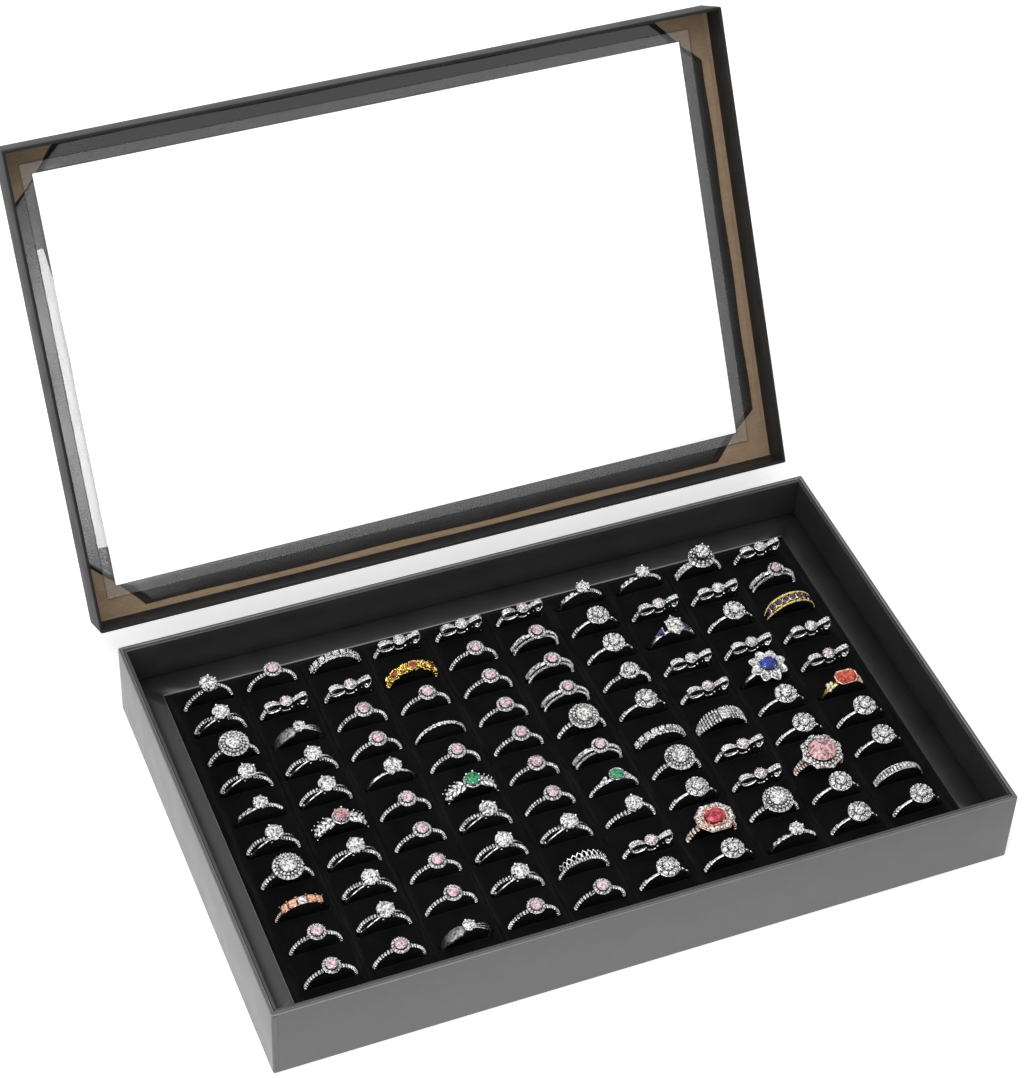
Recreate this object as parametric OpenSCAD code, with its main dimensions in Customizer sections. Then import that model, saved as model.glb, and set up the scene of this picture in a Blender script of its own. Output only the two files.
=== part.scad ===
// Ring display box: a wrapped board base with a slotted velvet insert for a hundred rings, and a
// telescoping lid with a clear window that stands open behind it.
// Millimetres, X to the right, Y to the back, Z up. The origin is on the table, under the middle
// of the base. The lid is drawn closed and then swung open about its stand-in hinge line.

/* [Base] */
// overall width of the base, left to right
box_w = 300; // [260:1:360]
// overall depth of the base, front to back
box_d = 192; // [170:1:240]
// overall height of the base
box_h = 34.5; // [32:0.5:50]
// thickness of the board that the base is folded from
board_t = 1.2; // [0.8:0.1:2]
// thickness of the grained wrapping paper
wrap_t = 0.2; // [0.15:0.05:0.4]
// radius of the wrapped upright corners
corner_r = 0.9; // [0.5:0.1:2]
// how far the wrap is turned down inside the walls
turn_in = 11; // [6:0.5:15]
// how far the wrap is turned under the floor
turn_under = 14; // [8:0.5:20]
// thickness of the paper sheet under the floor
sheet_t = 0.2; // [0.15:0.05:0.4]
// how far the bottom sheet stays back from the edges
sheet_inset = 2; // [1:0.5:5]

/* [Corner stays] */
// length of each leg of a corner stay
stay_leg = 12; // [8:1:18]
// thickness of the stay paper
stay_t = 0.1; // [0.05:0.01:0.12]
// distance of a stay from the top and bottom of its wall
stay_margin = 2.5; // [2:0.5:4]

/* [Collar and ledge] */
// thickness of the wrapped collar strips
collar_t = 1.35; // [1:0.05:2]
// how far the collar stops below the rim
collar_drop = 0.3; // [0.1:0.1:1.5]
// height of the ledge's top above the table
ledge_z = 15.7; // [14:0.1:17]
// width of the ledge that shows inside the collar
ledge_w = 11; // [8:0.5:14]
// thickness of the folded ledge board
ledge_t = 1.2; // [0.8:0.1:1.6]

/* [Ring insert] */
// columns of rings, left to right
columns = 10; // [8:1:10]
// slots in each column, front to back
rows = 10; // [8:1:10]
// thickness of the card under the foam
card_t = 1; // [0.6:0.1:1.5]
// height of the foam strips above the card at their crown
foam_h = 12.8; // [11.5:0.1:13.5]
// how much the foam's long sides lie lower than its crown
foam_crown = 1.6; // [1:0.1:2.5]
// gap between neighbouring foam strips
foam_gap = 0.3; // [0.2:0.05:0.8]
// extra velvet on the outer side of the first and last strips
foam_side = 2.4; // [0:0.1:4]
// clearance between a ring and each end of its slot
slot_end = 0.8; // [0.4:0.1:1.5]
// clearance between a ring's band and its slot, on each side and below
slot_fit = 0.1; // [0.05:0.05:0.2]
// foam left whole under a slot
slot_floor = 1; // [0.6:0.1:2]
// width of the groove where the velvet dips into a slot
dip_w = 5.5; // [4:0.5:7]
// depth of that groove
dip_d = 1.5; // [1:0.1:2]

/* [Rings] */
// outer radius of a ring's band
ring_r = 10.2; // [9.8:0.1:11]
// thickness of a ring's band, from bore to outside
band_t = 1.5; // [1.2:0.1:1.8]
// width of a ring's band in its slot
band_w = 2.2; // [1.8:0.1:2.6]
// lean of the rings towards the front, in degrees
ring_lean = 6; // [0:1:10]

/* [Lid] */
// overall height of the lid, from its rim to the outside of its top
lid_h = 20; // [16:0.5:24]
// thickness of the lid's board
lid_board_t = 0.9; // [0.7:0.1:1.2]
// clearance between the lid's inside and the base
lid_fit = 0.9; // [0.8:0.1:1.3]
// gap between the base's rim and the closed lid's inner face
seat_gap = 0.35; // [0.3:0.05:0.6]
// window edge to the inner face of the base's collar, all round
window_inset = 7.9; // [6:0.1:12]
// how far the window flaps stop short of the lid's walls
flap_gap = 1.2; // [0.5:0.1:2]
// the same on the right, where the flap is cut narrower
flap_gap_right = 3; // [0.5:0.1:5]
// kraft board left bare on the lid's walls, next to its top
bare_strip = 5.2; // [2:0.1:8]
// thickness of the clear window sheet
clear_t = 0.3; // [0.2:0.05:0.5]
// how far the clear sheet reaches over the flaps from the window
clear_lap = 4.5; // [3:0.5:7]
// how far the lid is swung open in its stored pose, in degrees
lid_open = 120.9; // [90:0.1:125]
// the stand-in hinge line, behind the inside of the lid's back wall
pole_back = 11.8; // [10:0.1:14]
// the stand-in hinge line, above the closed lid's rim
pole_up = 0.6; // [0.2:0.1:3]

/* [Hidden] */
$fn = 48;
eps = 0.01;

// base heights, counted up from the table
board_z = sheet_t + wrap_t;
floor_z = board_z + board_t;
board_top = box_h - wrap_t;

// plan sizes of the base, from the outside in
shell_w = box_w - 2 * wrap_t;
shell_d = box_d - 2 * wrap_t;
shell_r = corner_r - wrap_t;
cavity_w = shell_w - 2 * board_t;
cavity_d = shell_d - 2 * board_t;
mouth_w = cavity_w - 2 * wrap_t;
mouth_d = cavity_d - 2 * wrap_t;
well_w = mouth_w - 2 * collar_t;
well_d = mouth_d - 2 * collar_t;
field_w = well_w - 2 * ledge_w;
field_d = well_d - 2 * ledge_w;
ledge_reach = (cavity_w - field_w) / 2;

// the foam field and its slots
card_gap = 0.25;
insert_z = floor_z + card_t;
pitch_x = (field_w - 2 * foam_side) / columns;
pitch_y = field_d / rows;
foam_w = pitch_x - foam_gap;
foam_l = field_d - 2 * foam_gap;
foam_radius = (pow(foam_w / 2, 2) + pow(foam_crown, 2)) / (2 * foam_crown);
slot_w = band_w + 2 * slot_fit;
slot_l = 2 * (ring_r + slot_end);
ring_z = insert_z + slot_floor + slot_fit + ring_r;
bore_r = ring_r - band_t;

// the lid, drawn closed over the base
lid_wall = lid_board_t + 2 * wrap_t;
lid_in_w = box_w + 2 * lid_fit;
lid_in_d = box_d + 2 * lid_fit;
lid_w = lid_in_w + 2 * lid_wall;
lid_d = lid_in_d + 2 * lid_wall;
lid_r = corner_r;
panel_z = box_h + seat_gap;
lid_top = panel_z + lid_board_t + wrap_t;
rim_z = lid_top - lid_h;
window_w = well_w - 2 * window_inset;
window_d = well_d - 2 * window_inset;
flap_x = (lid_in_w - window_w) / 2 - flap_gap;
flap_x_right = (lid_in_w - window_w) / 2 - flap_gap_right;
flap_y = (lid_in_d - window_d) / 2 - flap_gap;
pole_y = lid_in_d / 2 + pole_back;
pole_z = rim_z + pole_up;

// which design stands in which slot: one string for each column, back to front
ring_layout = [
  "TSHSsSHRPP",
  "PBNSSLSSSP",
  "MBPPOPPPPN",
  "BGPWPVSSSP",
  "BPPPPPPSCP",
  "BPPPHPEOBF",
  "sFFKFMHFQF",
  "sBUBBXBBHs",
  "tBFBAFFDFF",
  "BPZBBJFFIF"
];

board_grey = [0.46, 0.44, 0.42];
kraft = [0.60, 0.50, 0.40];
wrap_black = [0.16, 0.17, 0.17];
velvet = [0.03, 0.03, 0.035];
silver = [0.82, 0.83, 0.85];
gold = [0.85, 0.66, 0.25];
rose_gold = [0.86, 0.58, 0.46];
paper_tan = [0.72, 0.65, 0.55];

// ---- shared shapes ----

// an upright block with its corners rounded in plan, centred on the Z axis
module slab(w, d, r, z0, z1) {
  translate([0, 0, z0])
    linear_extrude(z1 - z0)
      if (r > 0) {
        square([w - 2 * r, d], center = true);
        square([w, d - 2 * r], center = true);
        for (x = [-1, 1], y = [-1, 1])
          translate([x * (w / 2 - r), y * (d / 2 - r)])
            circle(r);
      } else {
        square([w, d], center = true);
      }
}

// the space taken by four corner stays wrapped round the corners of a board shell
module stays_round(w, d, r, z0, z1) {
  difference() {
    slab(w + 2 * stay_t, d + 2 * stay_t, r + stay_t, z0, z1);
    slab(w, d, r, z0 - 1, z1 + 1);
    slab(w - 2 * stay_leg, d + 2, 0, z0 - 1, z1 + 1);
    slab(w + 2, d - 2 * stay_leg, 0, z0 - 1, z1 + 1);
  }
}

// a flat ring of paper or board between two rectangles
module frame(w_out, d_out, w_in, d_in, z0, z1) {
  difference() {
    slab(w_out, d_out, 0, z0, z1);
    slab(w_in, d_in, 0, z0 - 1, z1 + 1);
  }
}

// ---- base ----

module base_stays() {
  stays_round(shell_w, shell_d, shell_r, board_z + stay_margin, board_top - stay_margin);
}

module base_board() {
  color(board_grey)
    difference() {
      slab(shell_w, shell_d, shell_r, board_z, board_top);
      slab(cavity_w, cavity_d, 0, floor_z, board_top + 1);
    }
}

module base_corner_stays() {
  color(paper_tan)
    base_stays();
}

// one sheet of paper: up the walls, over the rim, down inside, and under the floor
module base_wrap() {
  color(wrap_black) {
    difference() {
      slab(box_w, box_d, corner_r, sheet_t, box_h);
      slab(shell_w, shell_d, shell_r, board_z, board_top);
      slab(box_w - 2 * turn_under, box_d - 2 * turn_under, 0, -1, board_z + eps);
      slab(cavity_w, cavity_d, 0, board_top - eps, box_h + 1);
      base_stays();
    }
    frame(cavity_w, cavity_d, mouth_w, mouth_d, box_h - turn_in, box_h);
  }
}

// the sheet covers the wrap's turned edge and is pressed up to the board inside it
module base_bottom_sheet() {
  color(wrap_black) {
    slab(box_w - 2 * sheet_inset, box_d - 2 * sheet_inset, 0, 0, sheet_t);
    slab(box_w - 2 * turn_under, box_d - 2 * turn_under, 0, 0, board_z);
  }
}

// a collar strip against one wall, standing on the ledge
module collar_strip(length, reach) {
  color(wrap_black)
    translate([-length / 2, reach - collar_t, ledge_z])
      cube([length, collar_t, box_h - collar_drop - ledge_z]);
}

module collar_back() {
  collar_strip(mouth_w, mouth_d / 2);
}

module collar_front() {
  rotate([0, 0, 180])
    collar_back();
}

module collar_right() {
  rotate([0, 0, -90])
    collar_strip(well_d, mouth_w / 2);
}

module collar_left() {
  rotate([0, 0, 180])
    collar_right();
}

// a folded angle: a shelf out to the wall and a leg down to the floor, mitred at both ends
module ledge_angle(length, reach) {
  color(wrap_black)
    difference() {
      translate([0, 0, floor_z])
        linear_extrude(ledge_z - floor_z)
          polygon([
            [-length / 2, reach],
            [length / 2, reach],
            [length / 2 - ledge_reach, reach - ledge_reach],
            [-length / 2 + ledge_reach, reach - ledge_reach]
          ]);
      translate([-length / 2 - 1, reach - ledge_reach + ledge_t, floor_z - 1])
        cube([length + 2, ledge_reach, ledge_z - ledge_t - floor_z + 1]);
    }
}

module ledge_back() {
  ledge_angle(cavity_w, cavity_d / 2);
}

module ledge_front() {
  rotate([0, 0, 180])
    ledge_back();
}

module ledge_right() {
  rotate([0, 0, -90])
    ledge_angle(cavity_d, cavity_w / 2);
}

module ledge_left() {
  rotate([0, 0, 180])
    ledge_right();
}

module insert_card() {
  color(board_grey)
    slab(field_w - 2 * card_gap, field_d - 2 * card_gap, 0, floor_z, insert_z);
}

// ---- velvet foam strips ----

function column_x(column) = (column + 0.5 - columns / 2) * pitch_x;
function row_y(row) = field_d / 2 - (row + 0.5) * pitch_y;

// centre of a ring, leaning as it stands in its slot
module at_slot(column, row) {
  translate([column_x(column), row_y(row), ring_z])
    rotate([ring_lean, 0, 0])
      children();
}

// the slit that holds a band, and the rounded dip of the velvet at its mouth
module slot_cut() {
  slot_bottom = -ring_r - slot_fit;
  dip_z = insert_z + foam_h - dip_d - ring_z;
  translate([-slot_l / 2, -slot_w / 2, slot_bottom])
    cube([slot_l, slot_w, 3 * ring_r]);
  translate([-slot_l / 2, 0, dip_z])
    rotate([90, 0, 90])
      linear_extrude(slot_l)
        polygon([[-slot_w / 2, -dip_d / 2], [slot_w / 2, -dip_d / 2], [dip_w / 2, dip_d * 1.4],
                 [-dip_w / 2, dip_d * 1.4]]);
}

// a crowned strip with its long sides drawn down, and a slot for each ring
module ring_roll(column) {
  left = foam_w / 2 + (column == 0 ? foam_side : 0);
  right = foam_w / 2 + (column == columns - 1 ? foam_side : 0);
  color(velvet)
    difference() {
      intersection() {
        translate([column_x(column) - left, -foam_l / 2, insert_z])
          cube([left + right, foam_l, foam_h]);
        translate([column_x(column), 0, insert_z + foam_h - foam_radius])
          rotate([90, 0, 0])
            cylinder(r = foam_radius, h = foam_l + 2, center = true, $fn = 240);
      }
      for (row = [0 : rows - 1])
        at_slot(column, row)
          slot_cut();
    }
}

// ---- lid ----

// swings the closed lid back about the stand-in hinge line to its stored pose
module swung_open() {
  translate([0, pole_y, pole_z])
    rotate([-lid_open, 0, 0])
      translate([0, -pole_y, -pole_z])
        children();
}

module lid_stays() {
  stays_round(lid_w - 2 * wrap_t, lid_d - 2 * wrap_t, lid_r - wrap_t,
              rim_z + wrap_t + stay_margin, lid_top - wrap_t - stay_margin);
}

module lid_board() {
  color(kraft)
    swung_open()
      difference() {
        slab(lid_w - 2 * wrap_t, lid_d - 2 * wrap_t, lid_r - wrap_t, rim_z + wrap_t, lid_top - wrap_t);
        slab(lid_in_w + 2 * wrap_t, lid_in_d + 2 * wrap_t, 0, rim_z, panel_z);
        slab(window_w + 2 * wrap_t, window_d + 2 * wrap_t, 0, panel_z - 1, lid_top + 1);
      }
}

module lid_corner_stays() {
  color(paper_tan)
    swung_open()
      lid_stays();
}

// a window flap folded back on the board, its ends cut at 45 degrees
module window_flap(length, reach, width) {
  translate([0, 0, panel_z - wrap_t])
    linear_extrude(wrap_t)
      polygon([
        [-length / 2, reach],
        [length / 2, reach],
        [length / 2 - width, reach + width],
        [-length / 2 + width, reach + width]
      ]);
}

// one sheet of paper: over the top and walls, round the rim, and back through the window
module lid_wrap() {
  color(wrap_black)
    swung_open() {
      difference() {
        slab(lid_w, lid_d, lid_r, rim_z, lid_top);
        slab(lid_w - 2 * wrap_t, lid_d - 2 * wrap_t, lid_r - wrap_t, rim_z + wrap_t, lid_top - wrap_t);
        slab(lid_in_w + 2 * wrap_t, lid_in_d + 2 * wrap_t, 0, rim_z - 1, rim_z + wrap_t + eps);
        slab(window_w, window_d, 0, panel_z, lid_top + 1);
        lid_stays();
      }
      frame(lid_in_w + 2 * wrap_t, lid_in_d + 2 * wrap_t, lid_in_w, lid_in_d, rim_z, panel_z - bare_strip);
      frame(window_w + 2 * wrap_t, window_d + 2 * wrap_t, window_w, window_d,
            panel_z - wrap_t, lid_top);
      for (side = [0, 180])
        rotate([0, 0, side])
          window_flap(window_w, window_d / 2, flap_y);
      rotate([0, 0, 90])
        window_flap(window_d, window_w / 2, flap_x);
      rotate([0, 0, -90])
        window_flap(window_d, window_w / 2, flap_x_right);
    }
}

module lid_window_sheet() {
  color([0.85, 0.9, 0.92, 0.3])
    swung_open()
      slab(window_w + 2 * clear_lap, window_d + 2 * clear_lap, 0,
           panel_z - wrap_t - clear_t, panel_z - wrap_t);
}

// ---- rings ----
// Each design is drawn upright round its own centre: band in the XZ plane, head at the top.

module band(width = band_w) {
  edge = 0.3;
  rotate([90, 0, 0])
    rotate_extrude()
      polygon([
        [bore_r, edge - width / 2],
        [bore_r + edge, -width / 2],
        [ring_r - edge, -width / 2],
        [ring_r, edge - width / 2],
        [ring_r, width / 2 - edge],
        [ring_r - edge, width / 2],
        [bore_r + edge, width / 2],
        [bore_r, width / 2 - edge]
      ]);
}

// a cut stone standing on the band: pavilion, girdle, crown and table
module stone(d, lift) {
  translate([0, 0, ring_r + lift])
    rotate_extrude()
      polygon([[0, -0.42 * d], [d / 2, -0.04 * d], [d / 2, 0.04 * d], [0.3 * d, 0.2 * d], [0, 0.2 * d]]);
}

// a tapered cup that carries a stone
module basket(d_foot, d_top, h) {
  translate([0, 0, ring_r - 0.5])
    cylinder(d1 = d_foot, d2 = d_top, h = h + 0.5);
}

// four claws that hold a stone from the sides
module claws(d, h) {
  for (turn = [45 : 90 : 315])
    rotate([0, 0, turn])
      translate([d / 2, 0, ring_r - 0.2])
        cylinder(d = 0.8, h = h + 0.2);
}

// a plate whose edge is a ring of beads
module beaded_plate(d, beads, bead_d, lift, h) {
  translate([0, 0, ring_r + lift])
    linear_extrude(h) {
      circle(d = d);
      for (i = [0 : beads - 1])
        rotate(i * 360 / beads)
          translate([d / 2, 0])
            circle(d = bead_d);
    }
}

// copies of a shape round the top of the band, at equal angles
module along_top(count, step) {
  for (i = [0 : count - 1])
    rotate([0, (i - (count - 1) / 2) * step, 0])
      children();
}

// the pad of a stone set in the band's outside
module pad(d, h) {
  translate([0, 0, ring_r - 0.4])
    cylinder(d = d, h = h + 0.4);
}

// a widened stretch of band over the top of the ring
module crown_band(width, rise, half_angle) {
  reach = 2 * ring_r;
  intersection() {
    rotate([90, 0, 0])
      difference() {
        cylinder(r = ring_r + rise, h = width, center = true);
        cylinder(r = bore_r, h = width + 1, center = true);
      }
    rotate([90, 0, 0])
      linear_extrude(width + 2, center = true)
        polygon([[0, 0], [-reach * sin(half_angle), reach * cos(half_angle)], [0, 2 * reach],
                 [reach * sin(half_angle), reach * cos(half_angle)]]);
  }
}

// two thin strands that cross over the top of the band
module crossed_strands(width, turn, half_angle) {
  for (side = [-1, 1])
    rotate([0, 0, side * turn])
      crown_band(width, 0.35, half_angle);
}

module solitaire() {
  band();
  crossed_strands(1.5, 11, 52);
  basket(2.6, 5.4, 2.6);
  claws(6.6, 4.2);
  stone(7.1, 3.2);
}

module round_solitaire() {
  band();
  basket(2.2, 5.4, 2.6);
  claws(6.8, 4.3);
  stone(7.3, 3.3);
}

module twisted_solitaire() {
  band();
  crossed_strands(1.6, 18, 40);
  basket(2.8, 5.4, 2.6);
  claws(6.6, 4.2);
  stone(7.1, 3.2);
}

module tiered_solitaire() {
  band();
  crown_band(3.2, 0.8, 30);
  basket(3.4, 8.4, 2);
  beaded_plate(9.2, 14, 1.8, 1.8, 1.2);
  basket(5, 6, 4.6);
  claws(7.2, 6.9);
  stone(7.6, 6.2);
}

module star_solitaire() {
  band();
  crown_band(2.8, 0.3, 28);
  basket(2.2, 3.8, 1.6);
  beaded_plate(4.6, 8, 1.8, 1.2, 1);
  stone(4.6, 2.6);
}

module pink_halo() {
  band();
  crown_band(2.6, 0.4, 45);
  basket(2.6, 4.4, 1.6);
  beaded_plate(5.5, 12, 1.35, 1.4, 1.1);
  stone(4.6, 2.7);
}

module cushion_halo() {
  band();
  crown_band(2.8, 0.5, 40);
  basket(3, 8, 1.9);
  beaded_plate(9.8, 17, 1.75, 1.7, 1.3);
  stone(7.4, 3.4);
}

module double_halo() {
  band();
  crown_band(4, 0.6, 35);
  basket(4, 13, 1.8);
  beaded_plate(16.2, 24, 2.1, 1.5, 1.1);
  beaded_plate(13, 20, 1.7, 2.4, 1.2);
  stone(11.6, 4);
}

module heart_halo() {
  side = 5.3;
  band();
  basket(2.4, 4.6, 1.2);
  translate([0, 0, ring_r + 1])
    linear_extrude(1.3) {
      rotate(45)
        square(side, center = true);
      for (turn = [-45, 45])
        rotate(turn)
          translate([0, side / 2])
            circle(d = side);
    }
  stone(4.4, 2.7);
}

// two flat ribbon loops beside each other, on one side of a bow
module bow_side() {
  translate([1.2, 0, ring_r - 0.3])
    linear_extrude(1.9)
      for (row = [-1, 1]) {
        translate([0, row * 1.2 - 1.1])
          square([5.5, 2.2]);
        translate([5.5, row * 1.5])
          circle(d = 3.2);
      }
}

module bow() {
  band();
  for (side = [0, 1])
    mirror([side, 0, 0])
      rotate([0, 10, 0])
        bow_side();
  pad(4.6, 2.4);
  stone(3.4, 2.9);
}

module flower() {
  band();
  basket(2.4, 5, 1.4);
  beaded_plate(6.6, 8, 3, 1.2, 1.3);
  claws(3.6, 3.2);
  stone(4, 2.9);
}

module blue_flower() {
  band();
  basket(3, 9, 1.6);
  beaded_plate(11.9, 8, 4.6, 1.4, 1.3);
  beaded_plate(8.2, 16, 1.2, 2.4, 0.9);
  stone(7, 3.6);
}

module plain_band() {
  band();
  crown_band(3.8, 0.3, 50);
  pad(4.6, 1);
  stone(3.6, 1.5);
}

// a leaf lies flat on the band's outside
module leaf(length) {
  leaf_r = length * 0.72;
  translate([0, 0, ring_r - 0.3])
    linear_extrude(1.4)
      intersection() {
        translate([0, -leaf_r * 0.72])
          circle(leaf_r);
        translate([0, leaf_r * 0.72])
          circle(leaf_r);
      }
}

module leaf_vine() {
  band();
  for (side = [-1, 1], i = [0 : 2])
    rotate([0, side * (26 + 17 * i), 0])
      rotate([0, 0, i % 2 == 0 ? 50 : -50])
        leaf(4.4);
  basket(3, 5, 1.6);
  beaded_plate(5.4, 6, 1.8, 1.2, 1.1);
  stone(5.2, 2.7);
}

module gold_vine() {
  band();
  along_top(7, 18)
    beaded_plate(2.1, 5, 1.4, -0.4, 1.8);
}

module stone_band() {
  band();
  crown_band(2.8, 0.3, 58);
  along_top(7, 15)
    pad(2.6, 1.2);
}

module wavy_band() {
  band();
  for (i = [-4 : 4])
    rotate([0, i * 13, 0])
      translate([0, 0.8 * sin(i * 80), 0])
        pad(2.2, 1);
}

module scroll_band() {
  band();
  for (i = [-3 : 3])
    rotate([0, i * 17, 0])
      translate([0, 0, ring_r - 0.3])
        difference() {
          cylinder(d = 3.2, h = 1.4);
          translate([0, 0, -1])
            cylinder(d = 1.7, h = 3);
        }
}

module wide_band() {
  band();
  crown_band(5.6, 0.4, 60);
  for (row = [-1 : 1])
    translate([0, row * 1.8, 0])
      along_top(9, 13)
        pad(1.7, 0.9);
}

module baguette_band() {
  band();
  crown_band(3.2, 0.3, 56);
  along_top(11, 10)
    translate([-0.75, -1.8, ring_r - 0.4])
      cube([1.5, 3.6, 1.6]);
}

module sapphire_band() {
  band();
  crown_band(5.4, 0.5, 64);
  along_top(9, 13) {
    pad(2.5, 1.3);
    for (side = [-1, 1])
      translate([0, side * 2.3, 0])
        rotate([0, 6.5, 0])
          pad(1.3, 1);
  }
}

module rose_lattice() {
  band();
  crown_band(3.4, 0.3, 54);
  for (side = [-1, 1])
    translate([0, side * 1.7, 0])
      along_top(7, 14)
        pad(2.1, 1.2);
  along_top(6, 14)
    pad(1.9, 1.8);
}

// the middle stone is the meeting of two circles, with a group of three small stones on each side
module marquise() {
  stone_w = 8.4;
  stone_l = 10;
  arc_r = (pow(stone_w / 2, 2) + pow(stone_l / 2, 2)) / stone_w;
  band();
  basket(2.4, 5, 1.6);
  translate([0, 0, ring_r + 1.4])
    linear_extrude(2.4)
      intersection() {
        translate([stone_w / 2 - arc_r, 0])
          circle(arc_r);
        translate([arc_r - stone_w / 2, 0])
          circle(arc_r);
      }
  for (side = [-1, 1])
    rotate([0, side * 29, 0])
      beaded_plate(2.9, 3, 2, -0.3, 1.6);
}

module green_stone() {
  band();
  crown_band(2.4, 0.3, 25);
  basket(2.4, 4.4, 1.4);
  beaded_plate(5.4, 10, 1.4, 1.2, 1);
  stone(5, 2.6);
}

// a stepped plate with cut corners under a square stone
module square_head(w, h, cut) {
  linear_extrude(h)
    polygon([for (turn = [0 : 90 : 270], end = [-1, 1])
      let (along = end * (w / 2 - cut), out = w / 2)
        [out * cos(turn) - along * sin(turn), out * sin(turn) + along * cos(turn)]]);
}

module red_square() {
  band();
  basket(5, 11, 1.4);
  translate([0, 0, ring_r + 1.2])
    square_head(16, 1.2, 4);
  translate([0, 0, ring_r + 2.3])
    square_head(12.4, 0.9, 3);
  translate([0, 0, ring_r + 3.1])
    square_head(9.2, 1.5, 2.2);
}

module octagon() {
  band();
  basket(4, 7.4, 1.4);
  translate([0, 0, ring_r + 1.2])
    square_head(10.4, 1.3, 3);
  translate([0, 0, ring_r + 2.4])
    square_head(8.2, 1.5, 2.4);
}

// every ring of one design, each in its slot
module rings(letters) {
  for (column = [0 : columns - 1], row = [0 : rows - 1])
    if (len(search(ring_layout[column][row], letters)) > 0)
      at_slot(column, row)
        children();
}

base_board();
base_corner_stays();
base_wrap();
base_bottom_sheet();
collar_front();
collar_back();
collar_left();
collar_right();
ledge_front();
ledge_back();
ledge_left();
ledge_right();
insert_card();
ring_roll(0);  // ring_roll_01
ring_roll(1);  // ring_roll_02
ring_roll(2);  // ring_roll_03
ring_roll(3);  // ring_roll_04
ring_roll(4);  // ring_roll_05
ring_roll(5);  // ring_roll_06
ring_roll(6);  // ring_roll_07
ring_roll(7);  // ring_roll_08
ring_roll(8);  // ring_roll_09
ring_roll(9);  // ring_roll_10
lid_board();
lid_corner_stays();
lid_wrap();
lid_window_sheet();
color(silver) rings("S") solitaire();  // rings_solitaire
color(silver) rings("O") round_solitaire();  // rings_round_solitaire
color(silver) rings("T") twisted_solitaire();  // ring_twisted_solitaire
color(silver) rings("t") tiered_solitaire();  // ring_tiered_solitaire
color(silver) rings("s") star_solitaire();  // rings_star_solitaire
color(silver) rings("P") pink_halo();  // rings_pink_halo
color(silver) rings("H") cushion_halo();  // rings_cushion_halo
color(rose_gold) rings("D") double_halo();  // ring_double_halo
color(silver) rings("K") heart_halo();  // ring_heart_halo
color(silver) rings("B") bow();  // rings_bow
color(silver) rings("F") flower();  // rings_flower
color(silver) rings("A") blue_flower();  // ring_blue_flower
color(silver) rings("N") plain_band();  // rings_plain_band
color(silver) rings("LV") leaf_vine();  // rings_leaf_vine
color(gold) rings("G") gold_vine();  // ring_gold_vine
color(silver) rings("M") stone_band();  // rings_stone_band
color(silver) rings("W") wavy_band();  // ring_wavy_band
color(silver) rings("C") scroll_band();  // ring_scroll_band
color(silver) rings("X") wide_band();  // ring_wide_band
color(silver) rings("I") baguette_band();  // ring_baguette_band
color(gold) rings("Z") sapphire_band();  // ring_sapphire_band
color(rose_gold) rings("R") rose_lattice();  // ring_rose_lattice
color(silver) rings("U") marquise();  // ring_marquise
color(silver) rings("E") green_stone();  // ring_green_stone
color(rose_gold) rings("Q") red_square();  // ring_red_square
color(gold) rings("J") octagon();  // ring_octagon
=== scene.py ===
"""Ring display box: wrapped board base, slotted velvet foam, a hundred rings, and its window lid.

Shapes are worked out in millimetres in the box's own frame and put into meshes in metres.
"""

import bpy
import numpy as np
from mathutils import Matrix, Vector


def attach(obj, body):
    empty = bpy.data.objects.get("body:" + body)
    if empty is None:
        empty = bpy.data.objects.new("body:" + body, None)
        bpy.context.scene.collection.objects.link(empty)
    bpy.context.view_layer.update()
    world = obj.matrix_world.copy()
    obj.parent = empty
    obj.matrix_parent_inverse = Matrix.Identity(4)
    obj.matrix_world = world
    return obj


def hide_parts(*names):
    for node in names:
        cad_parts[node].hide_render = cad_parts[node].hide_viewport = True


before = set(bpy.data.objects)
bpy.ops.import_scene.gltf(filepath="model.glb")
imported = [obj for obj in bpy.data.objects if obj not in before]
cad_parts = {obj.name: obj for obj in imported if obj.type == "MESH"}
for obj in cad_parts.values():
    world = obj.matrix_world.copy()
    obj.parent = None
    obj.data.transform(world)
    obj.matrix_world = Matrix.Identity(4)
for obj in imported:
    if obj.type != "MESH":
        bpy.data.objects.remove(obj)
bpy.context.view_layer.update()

# ---- sizes, millimetres, as the box is built ----

MM_PER_M = 1000.0
BOX_W, BOX_D, BOX_H = 300.0, 192.0, 34.5
PAPER, WALL, CORNER_R = 0.2, 1.6, 0.9
TURN_IN, TURN_UNDER = 11.0, 14.0
LAP_WIDE, LAP_PROUD = 2.1, 0.14
COLLAR_T, COLLAR_TOP, COLLAR_EDGE = 1.35, 34.2, 0.38
LEDGE_Z, LEDGE_T, LEDGE_EDGE, MITRE_GAP = 15.7, 1.2, 0.55, 0.06
FLOOR_Z, CARD_TOP = 1.6, 2.6
FIELD_W, FIELD_D = 272.1, 164.1
COLUMNS = ROWS = 10
FOAM_GAP, FOAM_TOP, FOAM_SIDE = 0.3, 15.4, 2.4
CROWN, EDGE_ROUND, EDGE_DROP, END_DROP = 0.5, 1.3, 0.6, 0.7
PITCH_X, PITCH_Y = (FIELD_W - 2 * FOAM_SIDE) / COLUMNS, FIELD_D / ROWS
SLOT_L, SLOT_DIP, SLIT_DEEP, SLIT_HALF = 22.0, 0.6, 5.0, 1.15
RING_R, BORE_R, RING_Z, RING_LEAN = 10.2, 8.7, 13.9, 6.0
HOOP_SIDES, BLOCK_DEPTH = 84, 0.6
LID_W, LID_D, LID_R = 304.4, 196.4, 0.9
LID_WALL, PANEL_Z, LID_TOP, RIM_Z = 1.3, 34.85, 35.95, 15.95
WINDOW_W, WINDOW_D = 278.3, 170.3
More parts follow.
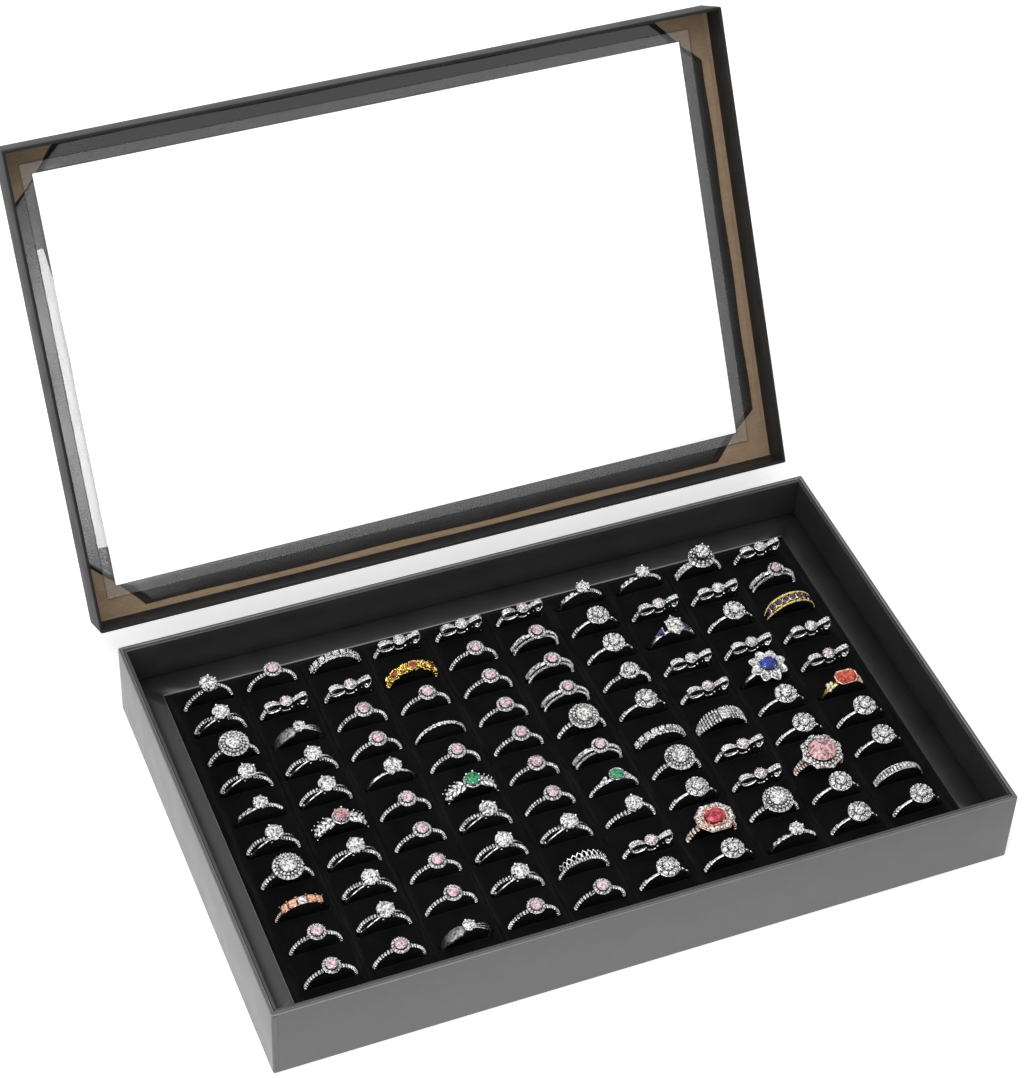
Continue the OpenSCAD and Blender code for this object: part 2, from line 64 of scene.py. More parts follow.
FLAP_WIDTHS, FLAP_SHORT, FLAP_LEAN, FLAP_SAG = (10.55, 10.55, 10.55, 8.75), 1.4, 0.86, 0.14
BARE_STRIP, CLEAR_T, CLEAR_LAP = 5.2, 0.3, 4.5
LID_OPEN, POLE_Y, POLE_Z = 120.9, 108.7, 16.55

# one string for each column, back to front; a capital and a small letter are different designs
LAYOUT = [
    "TSHSsSHRPP", "PBNSSLSSSP", "MBPPOPPPPN", "BGPWPVSSSP", "BPPPPPPSCP",
    "BpppHpEoBF", "sFFKFMHFQF", "sBUBBXBBHs", "tBFBAFFDFF", "BpZBBJFFIF",
]


# ---- placing ----

def shift(x, y, z):
    """Matrix of a move."""
    m = np.eye(4)
    m[:3, 3] = x, y, z
    return m


def turn(axis, degrees):
    """Matrix of a turn about X, Y or Z through the origin."""
    return np.array(Matrix.Rotation(np.radians(degrees), 4, axis))


def scale(x, y, z):
    """Matrix that stretches along the three axes."""
    return np.diag([x, y, z, 1.0])


SWUNG = shift(0, POLE_Y, POLE_Z) @ turn("X", -LID_OPEN) @ shift(0, -POLE_Y, -POLE_Z)


# ---- shapes: lists of closed shells, each (points, face arrays, finish, smooth or not) ----

def shell(points, faces, finish, smooth=True):
    """One closed shell. Its signed volume, the sum of origin-to-face pyramids, tells which way
    the faces turn, and they are all reversed where it is negative. The finish is one name, or one
    for each face array."""
    points = np.asarray(points, float).reshape(-1, 3)
    faces = [np.asarray(f, int) for f in faces if len(f)]
    middle = points - points.mean(0)
    volume = 0.0
    for f in faces:
        for k in range(1, f.shape[1] - 1):
            a, b, c = middle[f[:, 0]], middle[f[:, k]], middle[f[:, k + 1]]
            volume += np.einsum("ij,ij->", a, np.cross(b, c))
    if volume < 0:
        faces = [f[:, ::-1] for f in faces]
    return [(points, faces, finish, smooth)]


def placed(shape, *matrices):
    """Copies of a shape at each matrix: every point is multiplied by the matrix; a matrix that
    mirrors also reverses the faces."""
    out = []
    stack = np.array(matrices)
    mirrored = np.linalg.det(stack[0][:3, :3]) < 0
    for points, faces, finish, smooth in shape:
        moved = np.einsum("mij,nj->mni", stack[:, :3, :3], points) + stack[:, None, :3, 3]
        step = np.arange(len(stack)) * len(points)
        copies = [(f[None] + step[:, None, None]).reshape(-1, f.shape[1]) for f in faces]
        if mirrored:
            copies = [f[:, ::-1] for f in copies]
        out.append((moved.reshape(-1, 3), copies, finish, smooth))
    return out


def quads(rows, columns, close_rows=False, close_columns=False):
    """Faces between neighbouring points of a grid stored row by row."""
    a, b = np.meshgrid(np.arange(rows if close_rows else rows - 1),
                       np.arange(columns if close_columns else columns - 1), indexing="ij")
    row, next_row, b2 = a * columns, (a + 1) % rows * columns, (b + 1) % columns
    return np.stack([row + b, next_row + b, next_row + b2, row + b2], -1).reshape(-1, 4)


def at_angles(value, degrees):
    """A size or place at each angle from the top: one number, or a function of the angle."""
    return value(degrees) if callable(value) else np.full(len(degrees), float(value))


def once_round(steps):
    """Even angles of a full turn."""
    return np.radians(np.linspace(0, 360, steps + 1)[:-1])


def squarish(angles, power):
    """Cosine and sine of the angles, their sizes raised to a power below one, which swells a
    circle towards a square."""
    return (np.sign(g(angles)) * np.abs(g(angles)) ** power for g in (np.cos, np.sin))


def end_caps(rows, columns):
    """Two flat ends that close a grid whose rows are loops."""
    return np.array([np.arange(columns), (rows - 1) * columns + np.arange(columns)[::-1]])


def lathe(profile, sides, finish, smooth=True, lobes=0, depth=0.0, phase=0.0):
    """A profile of (radius, height) points turned about Z. With lobes, the radius is multiplied by
    one less depth times the absolute sine of half the lobe angle, so the outline is scalloped."""
    profile = np.asarray(profile, float)
    start = np.radians(phase)
    a = start + np.arange(sides) * 2 * np.pi / sides
    r = profile[:, :1] * (1 - depth * np.abs(np.sin(lobes * (a - start) / 2)))
    points = np.stack([r * np.cos(a), r * np.sin(a), np.repeat(profile[:, 1:], sides, 1)], -1)
    n = len(profile)
    return shell(points, [quads(n, sides, False, True), end_caps(n, sides)], finish, smooth)


def slab(top, drop, finish, smooth=True):
    """A closed sheet: a grid of top points, the same grid moved by drop, and four edge strips.
    The finish is one name, or one for each of the three."""
    top = np.asarray(top, float)
    rows, cols = top.shape[:2]
    n = rows * cols
    face = quads(rows, cols)
    index = np.arange(n).reshape(rows, cols)
    border = np.concatenate([index[0, :-1], index[:-1, -1], index[-1, :0:-1], index[:0:-1, 0]])
    follow = np.roll(border, -1)
    edge = np.stack([border, follow, follow + n, border + n], -1)
    points = np.concatenate([top.reshape(-1, 3), (top + drop).reshape(-1, 3)])
    return shell(points, [face, face[:, ::-1] + n, edge], finish, smooth)


def flat_block(half_long, half_wide, top):
    """A clear block with flat faces, reaching BLOCK_DEPTH below its top."""
    corners = [[[x, y, top] for y in (-half_wide, half_wide)] for x in (-half_long, half_long)]
    return slab(corners, [0, 0, -BLOCK_DEPTH], "clear", False)


def hoop(width, finish, outer=RING_R):
    """A ring band in the XZ plane. Its cross-section is a rounded box: half the width times the
    cosine to the power 0.7 along Y, and half the thickness times the sine to that power along the
    radius. Width and outer radius may be functions of the angle from the top."""
    u = np.arange(HOOP_SIDES) * 2 * np.pi / HOOP_SIDES
    degrees = (np.degrees(u) + 180) % 360 - 180
    c, s = squarish(np.arange(10) * 2 * np.pi / 10, 0.7)
    half, outside = at_angles(width, degrees)[:, None] / 2, at_angles(outer, degrees)
    r = (outside + BORE_R)[:, None] / 2 + (outside - BORE_R)[:, None] / 2 * s
    points = np.stack([r * np.sin(u)[:, None], half * c, r * np.cos(u)[:, None]], -1)
    return shell(points, [quads(HOOP_SIDES, 10, True, True)], finish)


def arc_rod(start, end, radius, thick, wide, finish, y=0.0, steps=24):
    """A rounded strand that follows the ring from one angle to another: an ellipse of the given
    thickness and width carried along the arc, drawn to a point at both ends."""
    d = np.linspace(start, end, steps)
    t = np.linspace(0, 1, steps)
    taper = np.clip(np.minimum(t, 1 - t) * 7 + 0.25, 0, 1)[:, None]
    f = np.arange(8) * np.pi / 4
    r = radius + taper * thick / 2 * np.sin(f)
    a = np.radians(d)[:, None]
    across = at_angles(y, d)[:, None] + taper * wide / 2 * np.cos(f)
    points = np.stack([r * np.sin(a), across, r * np.cos(a)], -1)
    return shell(points, [quads(steps, 8, False, True), end_caps(steps, 8)], finish)


def rod(foot, tip, r0, r1, finish, sides=6):
    """A straight tapered pin with a domed tip: circles of falling radius along the line between
    two points."""
    foot, tip = np.asarray(foot, float), np.asarray(tip, float)
    axis = tip - foot
    long = np.linalg.norm(axis)
    dome = [[r1, long - r1 * 0.7], [r1 * 0.75, long - r1 * 0.15], [r1 * 0.25, long]]
    spin = np.eye(4)
    spin[:3, :3] = np.array(Vector((0, 0, 1)).rotation_difference(Vector(axis)).to_matrix())
    return placed(lathe([[r0, 0]] + dome, sides, finish), shift(*foot) @ spin)


def tube(path, wide, thick, finish, closed=False):
    """A flat ribbon that follows a path in the XZ plane: at each point a rounded rectangle stands
    across the path, wide along Y and thick along the path's normal."""
    path = np.asarray(path, float)
    n = len(path)
    ahead = np.roll(path, -1, 0) - np.roll(path, 1, 0) if closed else np.gradient(path, axis=0)
    ahead /= np.linalg.norm(ahead, axis=1)[:, None]
    normal = np.stack([-ahead[:, 2], 0 * ahead[:, 0], ahead[:, 0]], -1)
    c, s = squarish(np.arange(8) * np.pi / 4 + np.pi / 8, 0.45)
    wide = np.broadcast_to(wide, n)
    points = path[:, None] + normal[:, None] * (thick / 2 * s)[None, :, None]
    points = points + np.stack([0 * c, c, 0 * c], -1)[None] * (wide / 2)[:, None, None]
    caps = [] if closed else end_caps(n, 8)
    return shell(points, [quads(n, 8, closed, True), caps], finish)


def prism(outline, levels, finish, smooth=True):
    """An outline carried up through (height, size) levels and closed by flat ends."""
    n = len(outline)
    points = np.concatenate([np.column_stack([outline * k, np.full(n, z)]) for z, k in levels])
    faces = [quads(len(levels), n, False, True), end_caps(len(levels), n)]
    return shell(points, faces, finish, smooth)


def cut_square(w, h, cut):
    """A rectangle with its four corners cut off."""
    x, y = w / 2, h / 2
    return np.array([[x, -y + cut], [x, y - cut], [x - cut, y], [cut - x, y],
                     [-x, y - cut], [-x, cut - y], [cut - x, -y], [x - cut, -y]])


def table(w, h, cut, levels, finish, smooth=False):
    """A plate or stone with cut corners on top of the band, through (height, size) levels."""
    return placed(prism(cut_square(w, h, cut), levels, finish, smooth), on_top(0))


def leaf_shape(length, wide, finish, lift):
    """A leaf: half-width is the sine of the share of the length, the middle lifted in a ridge."""
    t = np.linspace(0.03, 0.97, 9)
    v = np.linspace(-1, 1, 5)
    swell = np.sin(np.pi * t)[:, None]
    x = np.broadcast_to((t - 0.5)[:, None] * length, (9, 5))
    y = wide / 2 * swell**0.75 * v
    return slab(np.stack([x, y, lift * (1 - v**2) * swell + 0.12 * swell], -1), [0, 0, -0.35], finish)


def flow(points, steps=7):
    """A smooth path through the points: between two of them, the cubic whose slope at each is half
    the way from the point before to the point after."""
    p = np.asarray(points, float)
    lean = np.gradient(p, axis=0)
    t = np.linspace(0, 1, steps, endpoint=False)[None, :, None]
    a, b, m, n = (k[:, None] for k in (p[:-1], p[1:], lean[:-1], lean[1:]))
    path = (2 * t**3 - 3 * t**2 + 1) * a + (t**3 - 2 * t**2 + t) * m
    path = path + (3 * t**2 - 2 * t**3) * b + (t**3 - t**2) * n
    return np.concatenate([path.reshape(-1, 3), p[-1:]])


def ribbon(points, wide, thick=0.5):
    """A silver ribbon along a smooth path, its width given at each of the path's points."""
    path = flow(points)
    share = np.linspace(0, 1, len(path))
    return tube(path, np.interp(share, np.linspace(0, 1, len(wide)), wide), thick, "silver")


# ---- places on a ring ----

def on_top(z):
    """Matrix of a move to a height over the top of the band."""
    return shift(0, 0, RING_R + z)


def along(angles, y=0.0, rise=0.0):
    """Matrices that stand a shape on the band's outside at each angle from the top."""
    y = np.broadcast_to(y, len(angles))
    return [turn("Y", a) @ shift(0, b, RING_R + rise) for a, b in zip(angles, y)]


def round_about(count, radius, z, tilt=0.0, phase=0.0):
    """Matrices that stand copies of a shape in a circle round the head, tipped outwards. The
    radius may be one number or one for each copy."""
    radius = np.broadcast_to(radius, count)
    return [turn("Z", phase + k * 360 / count) @ shift(radius[k], 0, z) @ turn("Y", tilt)
            for k in range(count)]


# ---- stones ----

def brilliant(d, finish, height=1.0, stretch=1.0):
    """A round brilliant seen from its girdle's middle: an eight-sided table, star points half a
    step round, a sixteen-sided girdle and a pointed pavilion, every facet flat."""
    a8, a16 = np.arange(8) * np.pi / 4, np.arange(16) * np.pi / 8
    rings = [(a8, 0.56, 0.19), (a8 + np.pi / 8, 0.8, 0.12), (a16, 1.0, 0.025), (a16, 1.0, -0.025)]
    points = [np.column_stack([k * d / 2 * np.cos(a), k * d / 2 * np.sin(a), 0 * a + z * d * height])
              for a, k, z in rings]
    points = np.concatenate(points + [[[0, 0, -0.4 * d * height]]])
    i = np.arange(8)
    m, t1, m1 = 8 + i, (i + 1) % 8, 8 + (i - 1) % 8
    g0, g1, g2 = 16 + 2 * i, 16 + (2 * i + 1) % 16, 16 + (2 * i + 2) % 16
    j = np.arange(16)
    j1 = (j + 1) % 16
    triangles = [(i, m, t1), (m, g0, g1), (m, g1, g2), (48 + 0 * j, 32 + j1, 32 + j)]
    kites = [(i, m1, g0, m), (16 + j, 32 + j, 32 + j1, 16 + j1)]
    faces = [np.concatenate([np.stack(f, -1) for f in group]) for group in (triangles, kites)]
    return placed(shell(points, faces + [i[None]], finish, False), scale(1, stretch, 1))


def chip(d, finish):
    """A small set stone: a six-sided table over a wider girdle and a short foot."""
    r = d / 2
    return lathe([[0.5 * r, -0.35 * r], [r, 0], [0.58 * r, 0.42 * r]], 6, finish, False)


def bead(d, finish):
    """A grain of metal between stones: two five-sided rings and flat ends."""
    r = d / 2
    return lathe([[0.6 * r, -0.8 * r], [r, 0], [0.55 * r, 0.75 * r]], 5, finish)


def stones(d, spots, finish="clear", height=1.0, stretch=1.0):
    """Brilliants of one size at the given matrices."""
    return placed(brilliant(d, finish, height, stretch), *spots)


def chips(d, spots, finish="clear"):
    """Small set stones at the given matrices."""
    return placed(chip(d, finish), *spots)


def beads(d, spots, metal="silver"):
    """Grains of metal at the given matrices."""
    return placed(bead(d, metal), *spots)


def four_grains(m, radius, metal, size):
    """Four grains round a small stone."""
    return beads(size, [m @ turn("Z", 45 + 90 * k) @ shift(radius, 0, 0.15) for k in range(4)], metal)


# ---- bands and heads; heights of heads are over the top of the band ----

def strand(start, end, size=1.3, y=0.0, rise=0.0, metal="silver", step=None, across=1.3):
    """A strand of set stones: a thin rail that follows the ring, a channel of dark metal on it
    that is painted shade between the stones, and at even steps a small block of metal right across
    the channel with a stone on its top."""
    count = int(round((end - start) / (step or np.degrees(size * 0.98 / RING_R)))) + 1
    at = np.linspace(start, end, count)
    wide = size * across
    out = arc_rod(start - 5, end + 5, RING_R - 1.0 + rise, 0.6, wide * 0.75, metal, y, 30)
    # painted shade: the channel is dark metal standing for the shadow between the stones
    out += arc_rod(start - 3, end + 3, RING_R - 0.5 + rise, 0.5, wide * 0.8, "recess", y, 30)
    outline = cut_square(size * 0.64, wide * 1.06, size * 0.14)
    block = prism(outline, [(-0.85, 0.85), (-0.1, 1.0), (0.14, 0.86)], metal)
    out += placed(block, *along(at, at_angles(y, at), rise - 0.12))
    spots = along(at, at_angles(y, at), rise + 0.04)
    return out + chips(size, [m @ scale(0.66, across * 0.95, 1) for m in spots])


def shank(start, metal="silver", wide=2.0):
    """The plain lower part of the band, from one side of the head round the foot to the other."""
    return arc_rod(start, 360 - start, (RING_R + BORE_R) / 2, 1.4, wide, metal, steps=40)


def claws(count, foot_r, stone_r, foot_z, girdle, top, thick=0.5, metal="silver", phase=45.0):
    """Claws: each rises from the foot out to the stone's edge, then leans in to a domed tip."""
    pin = rod([foot_r, 0, foot_z], [stone_r, 0, girdle], thick * 0.36, thick * 0.5, metal)
    pin += rod([stone_r, 0, girdle - 0.2], [stone_r * 0.86, 0, top], thick * 0.5, thick * 0.62, metal)
    return placed(pin, *[on_top(0) @ turn("Z", phase + k * 360 / count) for k in range(count)])


def wire_ring(radius, thick, z, metal="silver", sides=24):
    """A round wire lying level at z: a small circle turned about Z."""
    f = np.arange(8) * np.pi / 4
    a = np.arange(sides)[:, None] * 2 * np.pi / sides
    r = radius + thick / 2 * np.cos(f)
    level = np.broadcast_to(z + thick / 2 * np.sin(f), (sides, 8))
    points = np.stack([r * np.cos(a), r * np.sin(a), level], -1)
    return shell(points, [quads(sides, 8, True, True)], metal)


def head(d, z, count=4, phase=25.0, finish="clear", height=1.0, stretch=1.0):
    """A stone in open claws, tied under it by two round wires. It is d across and stands z above
    the band."""
    r = d / 2
    out = claws(count, 0.34 * r, 0.99 * r, -0.5, z, z + 0.2 * d * height, 0.1 * d + 0.16, phase=phase)
    out += wire_ring(0.5 * r, 0.42, RING_R + 0.22 * z) + wire_ring(0.74 * r, 0.36, RING_R + 0.62 * z)
    return out + stones(d, [on_top(z)], finish, height, stretch)


def basket(foot, top, low, high, metal="silver"):
    """The cup under a head: a turned wall that narrows between its foot and its top rim."""
    waist = [(foot + top) / 8 * 1.5, (low + high) / 2]
    wall = [[foot / 2 * 0.6, low], [foot / 2, low + 0.2], waist, [top / 2 - 0.15, high - 0.2],
            [top / 2, high], [top / 2 - 0.35, high + 0.1]]
    return placed(lathe(wall, 20, metal), on_top(0))


def halo(radius, count, stone, z, tilt=14.0, plate=True, lobes=0, depth=0.0, phase=0.0):
    """A circle of set stones on a scalloped plate, its inner plate dark metal as painted shade
    between the stones, with a grain of metal in every outer notch. With lobes, the circle waves in
    and out by depth."""
    half_step = 180 / count
    wave = lambda deg: radius * (1 - depth * np.abs(np.sin(np.radians(lobes * (deg - phase) / 2))))
    at = phase + np.arange(count) * 360 / count
    out = chips(stone, round_about(count, wave(at), z, tilt, phase))
    notches = round_about(count, wave(at + half_step) + stone * 0.4, z - 0.02, tilt, phase + half_step)
    out += beads(stone * 0.38, notches)
    if plate:
        edge = radius + stone * 0.52
        rim = [[edge * 0.7, z - 0.95], [edge, z - 0.7], [edge, z - 0.3], [edge - 0.2, z - 0.2]]
        # painted shade: the inner plate is dark metal standing for the shadow between the stones
        dark = [[edge * 0.6, z - 0.5], [edge - 0.3, z - 0.24], [edge - 0.35, z - 0.13],
                [edge * 0.4, z - 0.1]]
        for profile, finish in ((rim, "silver"), (dark, "recess")):
            out += lathe(profile, count * 4, finish, True, lobes or count, depth or 0.04, phase)
    return placed(out, on_top(0))


# ---- ring designs: band in the XZ plane round the origin, head at the top ----

def taper(top, side, at=55.0):
    """A width that grows smoothly from the head to the side of the band."""
    return lambda d: side + (top - side) * np.clip(1 - np.abs(d) / at, 0, 1) ** 1.2


def thinned(drop, reach):
    """A band's outer radius that sinks by drop towards the head, straight over the reach."""
    return lambda d: RING_R - drop * np.clip(1 - np.abs(d) / reach, 0, 1)


def sway(amount, reach=50.0):
    """A sideways place that is nought at the head and swings out to both sides as the sine of the
    share of the reach gone, one way on the left and the other on the right."""
    return lambda d: amount * np.sin(np.pi / 2 * np.clip(d / reach, -1, 1))


def broad(least, more, reach, fall):
    """A band's width: the least, plus more of it towards the head, in a straight slope of the
    given fall that ends at the reach."""
    return lambda d: least + more * np.clip((reach - np.abs(d)) / fall, 0, 1)


def solitaire():
    """Two strands cross under a four-claw stone: one set with small stones, one plain."""
    set_side, plain_side = sway(-1.3), sway(1.3)
    out = shank(70) + strand(-80, -14, y=set_side) + strand(14, 80, y=set_side)
    out += arc_rod(-88, 88, RING_R - 0.5, 0.95, 0.85, "silver", plain_side, 44)
    out += beads(1.0, [shift(-1.4, -1.9, RING_R - 0.3), shift(1.4, 1.9, RING_R - 0.3)])
    return out + head(7.0, 3.1, phase=20)


def round_solitaire():
    """A round stone in a coiled cup on a slim plain band that thins towards the head."""
    out = hoop(taper(0.8, 2.1, 80), "silver", thinned(0.4, 70))
    out += wire_ring(1.7, 0.5, RING_R - 0.1) + wire_ring(2.2, 0.5, RING_R + 0.6)
    return out + basket(2.6, 4.6, -0.4, 1.6) + head(7.2, 3.1, 4, 0)


def bypass_solitaire():
    """A round stone over a coiled cup, between two set strands that sweep past on either side."""
    out = shank(66)
    out += strand(-82, -12, 1.5, lambda d: -1.4 * np.clip(1 + d / 82, 0, 1), across=1.35)
    out += strand(6, 80, 1.25, lambda d: 1.9 * np.clip(1 - d / 86, 0, 1), 0.1)
    out += wire_ring(1.8, 0.6, RING_R + 0.1) + wire_ring(2.4, 0.55, RING_R + 0.9)
    return out + head(6.9, 3.1, 4, 0)


def twisted_solitaire():
    """A stone over a coiled cup and a heart scroll, its two set strands twisting past each other."""
    out = shank(66) + strand(-82, -16, 1.35, sway(1.5, 60))
    out += strand(8, 78, 1.3, lambda d: 1.6 - 1.3 * np.clip(d / 78, 0, 1))
    a = once_round(18)
    curl = np.stack([2.6 + 1.05 * np.cos(a), 0 * a, 0.5 + RING_R + 0.9 * np.sin(a)], -1)
    for y in (-1.2, 0.9):
        out += placed(tube(curl, 0.5, 0.36, "silver", True), shift(0, y, 0))
    out += wire_ring(1.9, 0.55, RING_R + 0.2) + wire_ring(2.4, 0.5, RING_R + 0.95)
    out += stones(1.5, [shift(2.6, -1.3, RING_R + 0.5) @ turn("X", 60)])
    return out + head(7.0, 3.2, 6, 15)


def tiered_solitaire():
    """A star of claws on a second stage, over a round cluster, on shoulders of paired stones."""
    out = shank(64) + hoop(taper(1.6, 2.0), "silver", RING_R - 0.7)
    for at in np.arange(-76, -24, 8.5):
        out += stones(1.6, along([at, at], [-0.8, 0.8], 0.1)) + beads(0.7, along([at + 4.2], 0, 0.1))
    out += strand(26, 78, 1.4) + basket(3.4, 8.4, -0.3, 1.3) + halo(4.7, 14, 1.75, 2.2, tilt=28)
    out += halo(3.2, 11, 1.2, 2.8, tilt=18, plate=False) + basket(3.2, 5.0, 1.6, 4.6)
    return out + placed(head(6.4, 3.2, 6, 10), shift(0, 0, 3.0))


def star_solitaire():
    """A six-claw stone between a row of separate small stones and a short set shoulder."""
    out = hoop(taper(0.9, 2.0, 80), "silver", RING_R - 0.45) + strand(20, 58, 1.5, across=1.2)
    for k, at in enumerate((-26.0, -40.0, -54.0)):
        m = along([at], 0.0, 0.1)[0]
        out += stones(1.75 - 0.15 * k, [m])
        out += beads(0.6, [m @ shift(0.9, 0.5, -0.2), m @ shift(0.9, -0.5, -0.2)])
    return out + head(5.9, 2.5, 6, 12)


def pink_head(d=4.5):
    """A small pink stone that stands up out of a close halo of small stones."""
    out = basket(2.4, 4.8, -0.5, 0.7) + wire_ring(2.1, 0.35, RING_R + 0.1)
    out += halo(2.95, 15, 1.2, 1.5, tilt=22) + claws(4, 1.5, d / 2, 0.7, 2.25, 3.05, 0.52, phase=20)
    return out + stones(d, [on_top(2.25)], "pink")


def pink_halo():
    """A small pink stone in a halo of stones, on a band set with one row of stones."""
    return shank(70) + strand(-82, -20, 1.35) + strand(20, 82, 1.35) + pink_head()


def pink_halo_pair():
    """The pink halo on a band of long set blocks, with a second thin strand in front of it."""
    at = np.r_[-72.0, -59.0, -46.0, -33.0]
    out = shank(70) + arc_rod(-86, 86, RING_R - 0.55, 0.8, 1.7, "silver", 0.75, 44)
    out += placed(flat_block(0.95, 0.75, 0.3), *along(at, 0.75, 0.05))
    out += beads(0.6, along(at + 6.5, 1.3, 0.1) + along(at + 6.5, 0.2, 0.1))
    out += strand(22, 80, 1.15, 0.75, 0.1) + strand(-80, 80, 0.75, -1.25, -0.35)
    return out + pink_head(4.1)


def cushion_halo():
    """A wide cluster: a centre stone in two circles of small stones, on set shoulders."""
    out = shank(66) + strand(-80, -28, 1.6, across=1.25) + strand(28, 80, 1.5, across=1.25)
    out += basket(3.2, 8.4, -0.4, 1.0) + halo(5.3, 20, 1.5, 1.7, tilt=24)
    out += halo(4.0, 17, 1.15, 2.4, tilt=16, plate=False)
    return out + claws(4, 2.2, 3.1, 1.6, 2.9, 3.7, 0.6, phase=30) + stones(6.6, [on_top(2.9)])


def double_halo():
    """A large rosy stone in a metal rim, in two circles of small stones, the outer one waving in
    eight lobes, on shoulders split in two."""
    out = shank(66, "rose", 2.4)
    for side in (-1, 1):
        apart = lambda d: side * 1.5 * np.clip(1.25 - np.abs(d) / 90, 0.2, 1)
        for start in (-80, 34):
            out += strand(start, start + 46, 1.35, apart, 0.1, "rose")
    out += basket(4.0, 11.5, -0.4, 1.2, "rose")
    out += halo(7.7, 24, 1.9, 1.9, tilt=20, lobes=8, depth=0.11, phase=7.5)
    out += halo(6.25, 24, 1.15, 2.6, tilt=10, plate=False, phase=3)
    out += placed(wire_ring(5.45, 0.5, 0, "rose", 40), scale(1, 0.92, 1) @ on_top(3.1))
    out += claws(8, 3.6, 5.2, 1.8, 3.3, 3.9, 0.55, "rose", 12)
    return out + stones(11.0, [on_top(3.4)], "rosy", 0.62, 0.92)


def heart_halo():
    """A stone in the open heart that its two set strands draw: each leaves its shoulder and
    sweeps round the stone to the other side."""
    out = shank(66) + strand(-80, -26, 1.4) + strand(26, 80, 1.4) + basket(2.2, 4.4, -0.4, 1.1)
    swept, reach = np.radians(np.linspace(0, 200, 11)), 3.9 - 0.9 * np.linspace(0, 1, 11)
    seat = lathe([[0.5, -0.7], [0.72, -0.3], [0.6, -0.1]], 8, "silver")
    for turned in (180, 360):
        spots = [on_top(1.5) @ turn("Z", turned + np.degrees(a)) @ shift(r, 0, 0.5 * np.sin(a))
                 @ turn("Y", 16) for a, r in zip(swept, reach)]
        out += chips(1.3, spots) + placed(seat, *spots)
    return out + placed(head(4.6, 2.4, 4, 30), shift(0, 0.2, 0))


BOW_LEFT = [(-1.2, 0.2, -0.9), (-2.7, 0.2, -0.5), (-5.4, 0.3, 0.5), (-7.8, 0.3, 0.1),
            (-8.8, -0.3, -1.2), (-7.6, -1.3, -2.5), (-5.2, -1.6, -2.5), (-2.8, -1.6, -1.9)]
BOW_RIGHT = [(1.2, 0.2, -1.1), (2.6, 0.2, -0.9), (4.8, 0.2, 0.8), (7.0, 0.2, 1.75),
             (8.4, 0.0, 1.2), (8.5, -0.7, -0.4), (7.6, -1.3, -1.5)]
BOW_BAR = [(-3.3, -2.5, 0.2), (-2.8, -2.7, -1.0), (-1.6, -2.8, -1.7), (-0.1, -2.8, -1.9),
           (0.9, -2.8, -1.7)]


def bow():
    """A ribbon bow: on each side of a blush stone a set ribbon arches out, turns round its end and
    comes back in front, the right one ending in a curl, with a curved bar under the stone."""
    out = ribbon(BOW_LEFT, [1.3, 1.7, 2.3, 2.5, 2.1, 1.4, 1.35, 1.0])
    out += ribbon(BOW_RIGHT, [1.2, 1.6, 2.1, 2.3, 2.0, 1.3, 0.9])
    for points, picks in ((BOW_LEFT, [13, 16, 19, 22, 25]), (BOW_RIGHT, [9, 12, 15, 18, 21, 24])):
        path = flow(points)
        slope = np.gradient(path, axis=0)
        spots = []
        for (x, y, z), (dx, _, dz) in zip(path[picks], slope[picks]):
            tip = turn("Y", -np.degrees(np.arctan2(dz, dx * np.sign(x))) * np.sign(x))
            spots += [shift(x, y + side, z + 0.3) @ tip for side in (-0.55, 0.55)]
        out += chips(0.95, spots) + beads(0.42, [m @ shift(0.55, 0, 0) for m in spots])
    out += placed(wire_ring(0.72, 0.85, 0), shift(6.5, -1.5, -1.5))
    out += beads(0.62, [shift(4.4, -1.6, -1.6), shift(-3.6, -2.2, -1.6)])
    out += ribbon(BOW_BAR, [0.6, 0.8, 0.9, 0.8, 0.5], 0.6) + beads(1.15, [shift(1.7, -2.6, -1.0)])
    middle = basket(1.8, 3.8, -1.6, 0.6) + halo(1.95, 9, 1.15, 0.7, tilt=30)
    middle += stones(3.3, [on_top(1.0)], "blush") + claws(4, 0.9, 1.6, 0, 1.0, 1.6, 0.42, phase=10)
    out = placed(out + placed(middle, shift(0, 0, -RING_R)), shift(-0.4, -1.6, RING_R + 0.9))
    out += shank(78) + strand(-80, -50, 1.5)
    # painted shade: a thin band of dark metal under the bow, standing for the band in shadow
    return out + arc_rod(-66, 86, RING_R - 0.85, 0.85, 1.1, "recess", steps=36)


def flower():
    """A round flower of eight set petals on a slim stem, with three stones low on one shoulder
    and two pointed leaves on the other."""
    leaf = lathe([[0.15, -0.2], [0.95, 0], [0.6, 0.35], [0.1, 0.45]], 10, "silver")
    out = hoop(taper(0.9, 2.0, 80), "silver", thinned(0.45, 60)) + strand(-80, -56, 1.5, step=9.0)
    for m in along([44.0, 62.0], 0, -0.05):
        out += placed(leaf, m @ scale(1.9, 0.9, 1))
    out += basket(2.2, 5.6, -0.5, 1.2) + halo(3.35, 8, 2.35, 1.95, tilt=22)
    out += placed(wire_ring(0.98, 0.3, 0.24, "silver", 12), *round_about(8, 3.5, RING_R + 2.1, 22))
    out += beads(0.75, round_about(8, 2.5, RING_R + 2.35, 22, 22.5))
    return out + placed(head(4.1, 2.5, 8, 22.5), shift(0, 0, 0.25))


